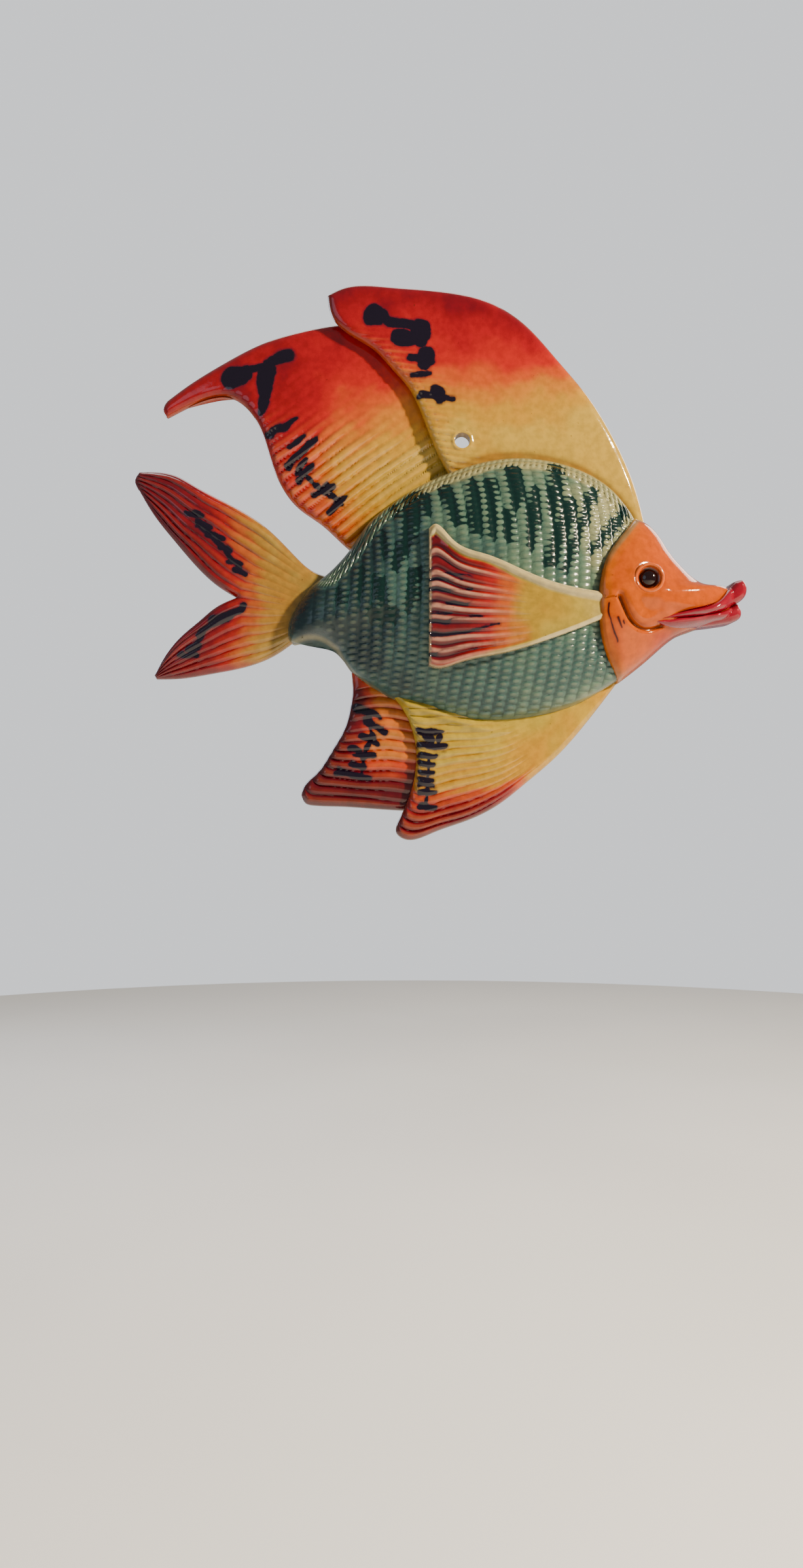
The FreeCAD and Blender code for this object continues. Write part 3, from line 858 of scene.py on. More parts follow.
def dress(piece: Piece, finish: object, node: str) -> Piece:
    """Give a piece its finish and body, and hide the frame node it stands for.

    Args:
        piece: The piece.
        finish: A finish with a name and a make method.
        node: Frame node that the piece replaces.

    Returns:
        The piece.
    """
    if finish.name not in MATERIALS:
        MATERIALS[finish.name] = finish.make()
    piece.data.materials.append(MATERIALS[finish.name])
    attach(piece, "root")
    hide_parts(node)
    LOG.info("%s: %d faces", piece.name, len(piece.data.polygons))
    return piece


REAR_EDGE = [(-2.4, -5.5), (-3.4, -3.5), (-5.4, 1.5), (-7.0, 6.0), (-8.8, 9.8), (-11.3, 13.0),
             (-14.5, 16.7), (-18.8, 19.7), (-21.2, 22.6), (-21.9, 26.4)]


@dataclass
class FrontDorsal(FinPlate):
    """The front dorsal fin, with the hanging hole and short ribs at its rear edge."""

    name: str = "Front_dorsal"
    node: str = "front_dorsal_fin"
    slot: str = "dorsal_red_to_yellow"
    glaze: Glaze = FIN_GLAZE
    plan: Plan = Plan(
        bottom=rail([(-1.0, -10.0), (13.6, -13.0), (27.6, -17.5)]),
        top=rail([(-21.9, 26.4), (-19.9, 27.6), (-11.3, 28.1), (-2.7, 27.4), (3.7, 26.0),
                  (10.1, 22.0), (15.6, 15.6), (20.9, 8.8), (25.2, 1.3), (29.0, -8.1),
                  (30.5, -14.1)]),
        left=rail([(-1.0, -10.0), (-2.4, -5.5)], REAR_EDGE),
        right=rail([(27.6, -17.5), (30.5, -14.1)]),
        across=250, up=190)
    crest: tuple[float, float] = (-22.6, 5.0)
    reach: float = 55.2
    fall: float = 9.3
    hole: float = 2.75
    return_rings: int = 9
    block: tuple[int, int, int] = (0, 0, 0)
    marks: tuple[Stroke, ...] = (
        ((-14.6, 22.4), (-12.9, 22.2), 7.6), ((-12.3, 21.4), (-6.4, 20.6), 3.6),
        ((-6.9, 20.0), (-7.0, 18.0), 7.2), ((-10.4, 18.3), (-7.4, 18.4), 6.0),
        ((-6.0, 15.4), (-6.2, 13.4), 5.8), ((-8.4, 14.6), (-5.3, 14.2), 2.6),
        ((-8.4, 11.7), (-5.3, 11.8), 1.6), ((-7.0, 8.0), (-1.5, 7.7), 2.1),
        ((-4.1, 8.7), (-3.6, 7.3), 4.7))

    def behind(self, places: Array) -> Array:
        """Return how far each place is in front of the rear edge, level with it, in mm."""
        edge = SIZE.place(REAR_EDGE)
        return places[..., 0] - np.interp(places[..., 1], edge[:, 1], edge[:, 0])

    def relief(self, at: Patch) -> Array:
        """Return short level ribs that start at the rear edge and fade forwards, less a shallow
        groove along the body's back edge that the groove colour darkens as painted shade.
        """
        run = self.behind(at.places)
        rise = at.places[..., 1] + 0.10 * run + 0.5 * mottle(at.places, 12, 3)
        fade = hump(np.maximum(run, 0), 13) * step(42.5, 36.0, at.places[..., 1])
        join = away_from(at.places, rail(BODY_BACK).line())
        # the hump along the join lowers the relief: a shallow groove, darkened further as painted
        # shade where the body meets the fin
        return ribbed(rise / 2.35, 1, fade * 0.9) - 0.5 * hump(join - 0.6, 1.3)

    def tone(self, at: Patch) -> Array:
        """Return red along the top and rear, through orange to olive yellow at the body."""
        level = at.z + 0.10 * at.x - 0.006 * np.maximum(at.x, 0) ** 2
        right = step(4.0, 22.0, at.x) * step(0.0, 12.0, at.z)
        strip = step(0.80, 0.97, at.t) * step(0.0, 0.1, at.t) * step(8.0, 14.0, at.z)
        return 0.98 - 0.80 * step(0.0, 21.0, level) + 0.25 * right - 0.14 * strip

    def extra(self, places: Array) -> Array:
        """Return the glaze's thick lip round the hanging hole."""
        return 0.35 * hump(np.linalg.norm(places, axis=-1) - self.hole - 0.6, 0.6)

    def shaped(self) -> Patch:
        """Return the plan with its rings of places drawn to a circle round the hanging hole.

        A square block of the grid about the hole has its border moved out or in to the hole's
        radius, and the rings round it go back to their own places over a few steps.
        """
        plain = self.plan.grid()
        places = plain.places.copy()
        radius = np.linalg.norm(places, axis=-1)
        i, j = np.unravel_index(radius.argmin(), radius.shape)
        gap = min(np.linalg.norm(places[i + 1, j] - places[i, j]),
                  np.linalg.norm(places[i, j + 1] - places[i, j]))
        size = max(4, int(round(self.hole / gap * 0.8)))
        self.block = (i, j, size)
        ring = np.maximum(np.abs(np.arange(radius.shape[0])[:, None] - i),
                          np.abs(np.arange(radius.shape[1])[None] - j))
        circle = places / np.maximum(radius, 1e-9)[..., None] * (self.hole * ring / size)[..., None]
        share = step(0, self.return_rings, ring - size)[..., None]
        near = (ring >= size) & (ring < size + self.return_rings)
        places[near] = (circle * (1 - share) + places * share)[near]
        return Patch(places, plain.s, plain.t)

    def faces(self, index: Array, back: Array) -> list[list[int]]:
        """Return the plate's faces with the bore of the hanging hole in them."""
        i, j, size = self.block
        inside = np.zeros(index.shape, bool)
        inside[i - size:i + size, j - size:j + size] = True
        keep = ~inside[:-1, :-1].ravel()
        block = index[i - size:i + size + 1, j - size:j + size + 1]
        ring = block.ravel()[border(block.shape)]
        other = ring + index.size
        bore = np.stack((ring, np.roll(ring, -1), np.roll(other, -1), other), -1)
        return (quads(index)[keep].tolist() + quads(back)[keep][:, ::-1].tolist()
                + self.strip(index, back) + bore.tolist())


@dataclass
class RearDorsal(FinPlate):
    """The rear dorsal fin, with broad ribs over its lower half."""

    name: str = "Rear_dorsal"
    node: str = "rear_dorsal_fin"
    slot: str = "dorsal_red_to_yellow"
    glaze: Glaze = FIN_GLAZE
    plan: Plan = Plan(
        bottom=rail([(-48.7, 5.5), (-43.2, 8.1), (-40.0, 8.9), (-37.6, 8.5), (-35.4, 6.8),
                     (-33.3, 3.5), (-31.0, -4.0), (-26.7, -11.7), (-22.9, -14.7),
                     (-19.8, -17.8), (-17.9, -19.6)]),
        top=rail([(-48.7, 8.7), (-45.5, 11.1), (-38.9, 15.3), (-32.6, 18.7), (-26.2, 20.8),
                  (-21.9, 21.8), (-17.2, 22.5)]),
        left=rail([(-48.7, 5.5), (-49.5, 7.1), (-48.7, 8.7)]),
        right=rail([(-17.9, -19.6), (-11.5, -18.0), (-3.0, -11.0), (-1.5, -4.0), (-2.8, 2.0),
                    (-5.0, 8.0), (-9.0, 14.0), (-13.0, 18.5), (-17.2, 22.5)]),
        across=250, up=185)
    crest: tuple[float, float] = (-22.6, 2.5)
    reach: float = 26.8
    fall: float = 6.0
    rib: float = 1.5
    marks: tuple[Stroke, ...] = (
        ((-37.6, 12.0), (-35.4, 12.9), 7.8), ((-35.2, 13.2), (-31.9, 14.5), 2.6),
        ((-28.6, 15.9), (-31.9, 14.5), 5.0), ((-31.8, 12.8), (-32.2, 8.8), 6.4),
        ((-32.3, 8.6), (-32.6, 5.6), 3.6),
        ((-31.6, 1.1), (-26.9, 4.3), 2.1), ((-28.2, -0.7), (-25.9, 0.7), 1.9),
        ((-28.5, -4.2), (-23.7, 0.5), 2.4), ((-26.9, -5.6), (-25.5, -3.6), 1.9),
        ((-26.6, -7.1), (-24.2, -4.2), 2.1), ((-24.2, -9.5), (-22.0, -7.5), 2.1),
        ((-22.2, -8.6), (-20.6, -8.0), 2.1), ((-21.3, -8.7), (-20.1, -10.6), 1.6),
        ((-21.5, -12.4), (-19.2, -9.7), 2.1), ((-26.0, -5.9), (-19.6, -11.2), 1.3))

    def relief(self, at: Patch) -> Array:
        """Return ribs that climb to the right, strongest low down and at the free edge."""
        x, z = at.places[..., 0], at.places[..., 1]
        across = z * 0.80 - x * 0.60 + 0.9 * mottle(at.places, 20, 8)
        fade = step(16.0, -8.0, z) * step(-88, -70, x)
        return ribbed(across / 3.4, 4, (0.12 + 0.88 * fade) * step(32, 20, z) * step(-98, -84, x))

    def tone(self, at: Patch) -> Array:
        """Return red at the tip and free edge, orange and then yellow towards the body."""
        low = step(12.0, -14.0, at.z - 0.25 * (at.x + 20))
        return 0.10 + 0.84 * low * (0.30 + 0.70 * step(0.0, 0.5, at.t)) \
            + 0.30 * step(-32, -14, at.x) * (1 - 0.6 * step(8, 18, at.z))


class Side(Enum):
    """Which of the two tail lobes."""

    UPPER = "upper"
    LOWER = "lower"


FORK = (-36.9, -28.1)
TAIL_PLANS = {
    Side.UPPER: Plan(
        bottom=rail([(-52.9, -8.5), (-50.2, -13.3), (-46.9, -17.9), (-43.0, -22.9),
                     (-39.8, -26.1), FORK], [FORK, (-23.5, -30.2)]),
        top=rail([(-52.9, -5.0), (-49.3, -5.1), (-46.7, -5.8), (-44.1, -7.4), (-38.2, -10.9),
                  (-32.4, -14.9), (-27.1, -20.6), (-24.5, -23.0), (-21.5, -24.1)]),
        left=rail([(-52.9, -8.5), (-53.7, -6.4), (-52.9, -5.0)]),
        right=rail([(-23.5, -30.2), (-20.4, -27.1), (-21.5, -24.1)]),
        across=260, up=120),
    Side.LOWER: Plan(
        bottom=rail([(-50.0, -42.9), (-46.2, -42.8), (-40.9, -41.9), (-35.6, -40.7),
                     (-30.8, -38.6), (-27.1, -35.7)], [(-27.1, -35.7), (-23.5, -34.2)]),
        top=rail([(-50.4, -42.1), (-48.7, -38.8), (-46.2, -35.4), (-43.0, -32.4),
                  (-39.8, -29.6), FORK], [FORK, (-23.5, -30.2)]),
        left=rail([(-50.0, -42.9), (-50.4, -42.1)]),
        right=rail([(-23.5, -34.2), (-23.5, -30.2)]),
        across=240, up=120),
}
TAIL_MARKS = {
    Side.UPPER: (((-44.6, -13.0), (-42.5, -13.6), 2.1), ((-43.0, -14.8), (-40.9, -15.5), 1.9),
                 ((-41.3, -16.9), (-39.0, -17.6), 2.1), ((-39.4, -19.3), (-37.5, -19.7), 1.9),
                 ((-37.9, -21.4), (-36.0, -22.1), 1.9), ((-36.7, -23.3), (-35.0, -23.7), 1.8),
                 ((-43.0, -14.4), (-36.0, -23.0), 1.9)),
    Side.LOWER: (((-40.5, -32.6), (-35.4, -30.0), 4.2), ((-42.8, -34.4), (-40.7, -33.6), 1.9),
                 ((-44.3, -37.4), (-42.6, -36.7), 2.3), ((-45.8, -38.7), (-43.4, -38.3), 1.6),
                 ((-42.0, -34.4), (-43.8, -37.6), 1.6)),
}


@dataclass
class TailLobe(FinPlate):
    """A lobe of the tail, ribbed along its length; the lobes join in a flush seam."""

    side: Side = Side.UPPER
    crest: tuple[float, float] = (-45.2, -25.1)
    reach: float = 23.1
    fall: float = 4.3

    def free_edge(self, places: Array) -> Array:
        """Return the distance from the edge, less the seam between the lobes behind the fork."""
        rails = [self.plan.bottom, self.plan.top]
        inner, outer = rails if self.side is Side.UPPER else rails[::-1]
        edge = inner.line()
        edge = edge[edge[:, 0] <= SIZE.place(FORK)[0] + 0.01]
        lines = [edge, outer.line(), self.plan.left.line()]
        return np.min([away_from(places, line) for line in lines], axis=0)

    def relief(self, at: Patch) -> Array:
        """Return ribs along the lobe that fade at the peduncle."""
        count = 8.5 if self.side is Side.UPPER else 7.0
        return ribbed(at.t * count + 0.15 * mottle(at.places, 10, 2), 7, step(0.92, 0.55, at.s))

    def tone(self, at: Patch) -> Array:
        """Return red lobes that turn orange and then ochre at the peduncle."""
        lean = 0.25 * (at.z + 28) if self.side is Side.UPPER else -0.2 * (at.z + 30)
        return 0.06 + 0.84 * step(-43.0, -27.5, at.x + lean)


@dataclass
class RearAnal(FinPlate):
    """The rear anal fin behind the belly fin."""

    name: str = "Rear_anal"
    node: str = "rear_anal_fin"
    slot: str = "ventral_red_to_yellow"
    glaze: Glaze = SHADED_VENTRAL_GLAZE
    plan: Plan = Plan(
        bottom=rail([(-26.2, -64.0), (-25.5, -65.5), (-24.2, -65.9), (-19.7, -66.1),
                     (-14.4, -66.5), (-8.6, -66.9)]),
        top=rail([(-18.1, -41.5), (-13.6, -40.6), (-8.5, -43.5)]),
        left=rail([(-26.2, -64.0), (-25.9, -62.6), (-24.0, -60.3), (-21.3, -56.0),
                   (-19.0, -51.3), (-18.2, -47.7), (-17.9, -45.2), (-18.1, -41.5)]),
        right=rail([(-8.6, -66.9), (-6.2, -63.0), (-5.0, -56.0), (-5.6, -50.0), (-8.5, -43.5)]),
        across=150, up=220)
    crest: tuple[float, float] = (-20.4, -62.8)
    reach: float = 18.4
    fall: float = 3.0
    rib: float = 1.2
    marks: tuple[Stroke, ...] = (
        ((-17.3, -48.1), (-13.6, -49.8), 2.1), ((-15.8, -50.4), (-12.5, -52.2), 2.1),
        ((-16.5, -53.0), (-13.9, -54.5), 2.1), ((-18.1, -55.7), (-14.6, -56.9), 2.1),
        ((-17.8, -58.0), (-16.3, -58.8), 1.9), ((-20.2, -59.7), (-15.0, -60.9), 2.1),
        ((-15.4, -49.4), (-14.3, -53.4), 1.3), ((-15.4, -54.4), (-16.6, -59.6), 1.1))

    def relief(self, at: Patch) -> Array:
        """Return ribs that run to the left edge and fade at the root."""
        return ribbed(at.t * 14 + 0.2 * mottle(at.places, 12, 6), 9,
                      step(0.98, 0.8, at.t) * (0.45 + 0.55 * step(1.0, 0.5, at.s)))

    def tone(self, at: Patch) -> Array:
        """Return crimson along the free edges and bottom, orange, and dark olive at the root as the
        body's painted shadow.
        """
        # the last term is the body's painted shadow over the root, dark olive from the ramp's top
        # stops
        return 0.08 + 0.52 * step(0.06, 0.42, at.s) * step(0.16, 0.44, at.t) \
            + 0.4 * step(0.70, 1.0, at.t)


@dataclass
class Belly(FinPlate):
    """The belly fin, ribbed from its left edge, with one bold ridge under the body."""

    name: str = "Belly_fin"
    node: str = "belly_fin"
    slot: str = "belly_yellow"
    glaze: Glaze = BELLY_GLAZE
    plan: Plan = Plan(
        bottom=rail([(-10.5, -68.8), (-10.7, -70.8), (-9.7, -71.8), (-4.8, -70.8),
                     (0.5, -68.7), (5.8, -65.8), (10.0, -62.2), (15.4, -57.1), (20.7, -50.6),
                     (26.5, -42.5)]),
        top=rail([(-11.6, -45.7), (-7.0, -45.5), (0.0, -46.5), (10.0, -46.0), (18.0, -43.5),
                  (24.0, -40.5)]),
        left=rail([(-10.5, -68.8), (-9.0, -65.3), (-7.8, -60.7), (-7.5, -56.0), (-8.1, -52.5),
                   (-9.4, -49.0), (-11.6, -45.7)]),
        right=rail([(26.5, -42.5), (24.0, -40.5)]),
        across=260, up=180)
    crest: tuple[float, float] = (-11.3, -62.8)
    reach: float = 40.8
    fall: float = 10.5
    rib: float = 1.1
    marks: tuple[Stroke, ...] = (
        ((-7.0, -52.5), (-3.6, -52.9), 1.9), ((-5.8, -53.0), (-5.2, -55.0), 2.6),
        ((-6.9, -54.9), (-3.0, -55.4), 1.9), ((-4.0, -53.4), (-4.2, -54.9), 1.6),
        ((-7.0, -56.8), (-4.5, -56.8), 1.7), ((-7.0, -58.3), (-4.7, -58.4), 1.7),
        ((-6.9, -59.9), (-4.6, -59.9), 1.7), ((-6.9, -61.0), (-4.7, -61.1), 1.4),
        ((-6.9, -62.2), (-4.6, -62.3), 1.7), ((-6.9, -63.8), (-4.6, -63.8), 1.7),
        ((-6.8, -66.0), (-4.3, -66.2), 1.9), ((-5.7, -57.0), (-5.7, -66.0), 1.1))

    def relief(self, at: Patch) -> Array:
        """Return ribs from the left edge that fade forwards."""
        return ribbed(at.t * 17 + 0.25 * mottle(at.places, 15, 9), 13,
                      step(0.62, 0.12, at.s) * step(0.97, 0.86, at.t))

    def extra(self, places: Array) -> Array:
        """Return the bold ridge that runs under the body."""
        line = rail([(-11.2, -46.8), (-7.0, -48.2), (-2.0, -50.2), (4.0, -52.0), (11.0, -52.6)])
        return 1.3 * hump(away_from(places, line.line()), 1.5) * step(26, 2, places[..., 0])

    def tone(self, at: Patch) -> Array:
        """Return crimson along the bottom edge and tip, then orange, then yellow."""
        reach = 0.46 - 0.28 * step(-6.0, 14.0, at.x)
        fade = 0.02 + 0.58 * step(0.04, reach, at.t) + 0.36 * step(0.2, 0.75, at.t)
        return np.maximum(fade, 0.78 * step(3.0, 16.0, at.x))


# ---------------------------------------------------------------- shells

BODY_MIDDLE = (1.4, -26.6)
HEAD_MIDDLE = (23.5, -28.6)
BODY_BACK = [(-22.0, -24.0), (-18.2, -19.3), (-15.5, -14.9), (-11.3, -10.9), (-7.0, -7.8),
             (-2.8, -5.7), (3.6, -3.4), (10.0, -2.7), (15.3, -3.5), (20.6, -5.6), (24.8, -8.9),
             (27.8, -13.2)]
BODY_GILL = [(25.3, -43.2), (28.5, -36.7), (30.1, -27.6), (29.9, -19.1), (27.8, -13.2)]
BODY_BELLY = [(-20.3, -37.6), (-18.4, -41.0), (-16.5, -43.1), (-14.3, -44.8), (-11.3, -46.7),
              (-6.0, -48.4), (-0.7, -50.4), (4.6, -51.0), (9.8, -50.4), (15.1, -49.0),
              (20.4, -46.6), (25.3, -43.2)]
PEDUNCLE = [(-20.3, -37.6), (-22.8, -35.8), (-26.0, -35.8), (-28.0, -36.1), (-28.5, -34.2),
            (-27.3, -30.2), (-25.0, -26.6), (-22.0, -24.0)]
FOREHEAD = [(27.6, -13.3), (29.6, -14.2), (31.6, -16.0), (33.7, -19.6), (35.9, -22.6),
            (38.0, -24.8), (40.1, -25.9), (42.2, -26.1), (43.6, -26.7), (43.9, -28.8)]
JAW = [(43.9, -28.8), (43.7, -31.0), (42.8, -32.2), (41.0, -32.8), (38.0, -33.9),
       (35.3, -35.1), (32.7, -37.2), (29.4, -40.4), (25.6, -43.6)]
NAPE = [(25.6, -43.6), (20.8, -42.2), (16.3, -37.2), (14.5, -29.1), (16.3, -20.6),
        (21.7, -14.6), (27.6, -13.3)]
GILL_EDGE = [(25.7, -43.6), (23.5, -40.5), (22.1, -37.1), (21.4, -33.1), (21.2, -29.6),
             (21.6, -25.6), (22.8, -21.6), (25.0, -18.1), (28.3, -13.5)]


@dataclass(frozen=True)
class Dome:
    """A dome over an outline: a quarter of an ellipse from the side wall to the crown.

    At a share r of the way from the middle to the outline, its height is the spring plus the
    rise times the square root of 1 less r squared.
    """

    outline: Rail
    middle: tuple[float, float]
    spring: float
    crown: float

    def share(self, places: Array) -> Array:
        """Return how far out each place is, from 0 in the middle to 1 on the outline."""
        away = self.outline.line() - SIZE.place(self.middle)
        turn, radius = np.arctan2(away[:, 1], away[:, 0]), np.hypot(away[:, 0], away[:, 1])
        order = np.argsort(turn)
        spot = places - SIZE.place(self.middle)
        angle = np.arctan2(spot[..., 1], spot[..., 0])
        limit = np.interp(angle, turn[order], radius[order], period=2 * math.pi)
        return np.hypot(spot[..., 0], spot[..., 1]) / limit

    def height(self, places: Array) -> Array:
        """Return the dome's height above the wall."""
        out = np.clip(self.share(places), 0, 1)
        return self.spring + (self.crown - self.spring) * np.sqrt(1 - out ** 2)


BODY_DOME = Dome(rail(BODY_BACK, BODY_GILL[::-1], BODY_BELLY[::-1], PEDUNCLE), BODY_MIDDLE,
                 14, SIZE.top_of("body_shell") + 0.1)
HEAD_DOME = Dome(rail(FOREHEAD, JAW, NAPE), HEAD_MIDDLE, 13, SIZE.top_of("head_shell") + 0.1)
SHELL_FOOT = SIZE.top_of("back_shell")


def settle_down(heights: Array, rounds: int) -> Array:
    """Smooth a grid of heights by averaging neighbours, with its border held."""
    for _ in range(rounds):
        inner = (heights[:-2, 1:-1] + heights[2:, 1:-1] + heights[1:-1, :-2]
                 + heights[1:-1, 2:]) / 4
        heights = heights.copy()
        heights[1:-1, 1:-1] = 0.5 * heights[1:-1, 1:-1] + 0.5 * inner
    return heights


@dataclass
class ScaledBody:
    """The body shell: a dome covered in beads that stand in upright columns."""

    column: float = 4.2
    bead: float = 2.25
    depth: float = 0.62
    back_run: float = 175.0
    plan: Plan = Plan(rail(BODY_BELLY), rail(BODY_BACK), rail(PEDUNCLE), rail(BODY_GILL),
                      across=330, up=232)
    ferns: tuple[Stroke, ...] = (
        ((-2.9, -10.2), (-0.9, -16.5), 3.9), ((1.4, -9.2), (1.7, -18.2), 4.1),
        ((4.3, -9.2), (4.1, -18.8), 3.6), ((7.9, -6.9), (8.4, -13.0), 4.5),
        ((6.9, -14.8), (6.9, -19.3), 3.2), ((11.3, -10.7), (10.3, -20.5), 3.6),
        ((15.1, -5.8), (14.1, -14.8), 4.1), ((16.7, -13.0), (13.4, -23.4), 5.0),
        ((20.8, -10.2), (18.2, -17.6), 3.2), ((18.2, -17.6), (15.7, -24.5), 2.7),
        ((26.0, -13.0), (23.4, -17.0), 4.1), ((23.4, -17.0), (20.3, -21.1), 2.5),
        ((-6.6, -10.7), (-6.0, -14.2), 2.7), ((-7.9, -11.3), (-8.9, -19.3), 5.5),
        ((-8.9, -19.3), (-10.7, -23.9), 4.6), ((-13.0, -18.2), (-12.2, -21.6), 3.0),
        ((-16.1, -24.5), (-16.4, -29.1), 2.3), ((-19.3, -27.9), (-19.3, -30.2), 1.8),
        ((-13.8, -26.2), (-11.7, -33.1), 3.4), ((-14.1, -32.0), (-11.0, -32.5), 5.0),
        ((-7.6, -25.1), (-8.6, -31.4), 3.2), ((-11.2, -11.9), (-10.0, -14.8), 2.3))

    def beads(self, at: Patch) -> Array:
        """Return the beads, 0 in the joints to 1 on top.

        A bead is the product of two half waves, across its column and down it, and every
        other column is shifted by half a bead. Along the back two rows of slanting pebbles
        take over.
        """
        places = at.places
        x, z = places[..., 0], places[..., 1]
        across = (x + 0.0022 * (z + 52) ** 2) / self.column + 0.10 * mottle(places, 13, 21)
        down = z / self.bead + 0.5 * (np.floor(across + 0.5) % 2) + 0.14 * mottle(places, 9, 22)
        beads = (np.abs(np.cos(math.pi * across)) * np.abs(np.cos(math.pi * down))) ** 0.75
        gap = away_from(places, rail(BODY_BACK).line())
        slant = at.s * self.back_run / 2.7 + gap / 6.0
        pebbles = (np.abs(np.cos(math.pi * slant)) ** 0.7
                   * np.abs(np.sin(math.pi * gap / 3.1)) ** 0.6)
        share = step(6.4, 5.6, gap)
        return beads * (1 - share) + pebbles * share

    def build(self) -> Piece:
        """Build the body and dress it."""
        at = self.plan.grid()
        places, x, z = at.places, at.x, at.z
        beads, gap = self.beads(at), from_border(places)
        back_gap = away_from(places, rail(BODY_BACK).line())
        show = step(0.3, 2.5, gap) * (1 - 0.65 * step(-19, -25, x))
        heights = settle_down(BODY_DOME.height(places), 60) + (beads - 0.5) * self.depth \
            * show * (1 + 0.7 * step(6.6, 5.6, back_gap))
        # painted light and shade of the dome lit from the upper right: lighter high up at the right
        # and towards the head, darker to the left; the cream rim along the back, the paler lower
        # edge and the mottle are the glaze's own
        tone = 0.40 + 0.22 * step(-40, -8, z) * step(-14, 0, x) + 0.5 * step(7.5, 4.8, back_gap) \
            + 0.28 * step(12, 25, x) * step(-36, -20, z) - 0.34 * step(2, -20, x) \
            + 0.25 * step(5.5, 1.0, gap) * step(-30, -46, z) \
            + 0.14 * mottle(places, 11, 31) + 0.08 * mottle(places, 5, 32)
        ferns = brushed(places, self.ferns) - 0.7 + (beads - 0.42) * 2.9
        piece = casting("Scaled_body", places, heights, SHELL_FOOT,
                        painted(places, tone, SMOOTH + (beads - 0.5) * show, ferns, gap))
        return dress(piece, BODY_GLAZE, "body_shell")


EYE = (29.0, -26.0)
EYE_SEAT = SIZE.seat_of("eye_ring")
CHEEK_FOLD = [(24.3, -29.3), (25.3, -31.7), (26.2, -33.3), (27.4, -34.3), (28.9, -34.7),
              (30.4, -34.4), (31.6, -33.9)]


@dataclass
class Head:
    """The head shell: a smooth orange plate with a cheek fold, an eye socket and a mouth."""

    plan: Plan = Plan(bottom=rail([GILL_EDGE[0]] + JAW[-2:0:-1]),
                      top=rail([GILL_EDGE[-1]] + FOREHEAD[1:-1]), left=rail(GILL_EDGE),
                      right=rail([JAW[1], JAW[0], FOREHEAD[-2]]), across=260, up=230)
    marks: tuple[Stroke, ...] = (
        ((22.6, -30.6), (22.8, -33.8), 0.7), ((22.8, -33.8), (24.0, -37.1), 0.7),
        ((23.8, -32.6), (24.5, -34.7), 0.8), ((24.7, -33.3), (25.0, -33.9), 0.8))
    socket: float = 4.9

    def build(self) -> Piece:
        """Build the head and dress it."""
        at = self.plan.grid()
        places, gap = at.places, from_border(at.places)
        gill = away_from(places, rail(GILL_EDGE).line())
        fold_line = rail(CHEEK_FOLD).line()
        fold = away_from(places, fold_line)
        above = places[..., 1] > np.interp(places[..., 0], fold_line[:, 0], fold_line[:, 1])
        eye = np.linalg.norm(places - SIZE.place(EYE), axis=-1)
        heights = settle_down(HEAD_DOME.height(places), 160) - 1.5 * (1 - round_over(gill, 1.8)) \
            - 1.3 * hump(fold, 0.85) + 0.9 * hump(fold - 3.0, 2.4) * above \
            + 0.4 * hump(eye - 6.0, 2.0)
        socket = np.minimum(heights, EYE_SEAT + 3.3 * step(4.2, self.socket, eye))
        heights = np.where(eye < self.socket, socket, heights)
        tone = 0.45 + 0.35 * step(5.0, 0.5, gill) \
            + 0.30 * step(3.0, 0.3, gap) * step(-26, -16, at.z) \
            - 0.35 * step(-33.0, -36.0, at.z) * step(27, 33, at.x) + 0.10 * mottle(places, 12, 41)
        # relief is lowered along the cheek fold, as pooled glaze and painted shade in the crease,
        # and in a ring just outside the eye ring as painted shade
        relief = SMOOTH - 0.5 * hump(fold, 0.6) - 0.175 * hump(eye - 5.9, 0.7)
        piece = casting("Head", places, heights, SHELL_FOOT,
                        painted(places, tone, relief, brushed(places, self.marks), gap))
        return dress(piece, HEAD_GLAZE, "head_shell")


MOUTH = [(29.9, -33.3), (36.2, -32.3), (41.6, -31.1), (44.6, -29.4)]
MOUTH_CORNER = rail([MOUTH[0], MOUTH[0]])
LIP_PLANS = {
    Side.UPPER: Plan(
        bottom=rail(MOUTH),
        top=rail([MOUTH[0], (34.8, -31.5), (39.2, -30.2), (41.4, -28.6), (42.9, -26.8),
                  (44.1, -25.4)]),
        left=MOUTH_CORNER,
        right=rail([MOUTH[-1], (45.8, -28.3), (46.2, -26.7), (45.5, -25.2), (44.1, -25.5)]),
        across=150, up=60),
    Side.LOWER: Plan(
        bottom=rail([MOUTH[0], (33.0, -34.1), (36.5, -33.9), (40.6, -33.4), (43.6, -32.9)]),
        top=rail(MOUTH), left=MOUTH_CORNER,
        right=rail([(43.6, -32.9), (45.2, -31.8), (45.2, -30.5), MOUTH[-1]]),
        across=150, up=60),
}


@dataclass
class Lip:
    """A crimson lip: a soft roll on the head's dome, full at the front of the mouth."""

    side: Side

    def build(self) -> Piece:
        """Build the lip and dress it."""
        at = LIP_PLANS[self.side].grid()
        places, gap = at.places, from_border(at.places)
        base = np.maximum(HEAD_DOME.height(places), 16.5)
        heights = base - 0.5 + round_over(gap, 2.4) * (2.6 + 1.8 * step(0.1, 0.9, at.s))
        tone = 0.45 + 0.3 * at.s + 0.15 * mottle(places, 4, 51)
        piece = casting(f"{self.side.value.capitalize()}_lip", places, heights, SHELL_FOOT,
                        painted(places, tone, edge=gap))
        return dress(piece, LIP_GLAZE, f"{self.side.value}_lip")


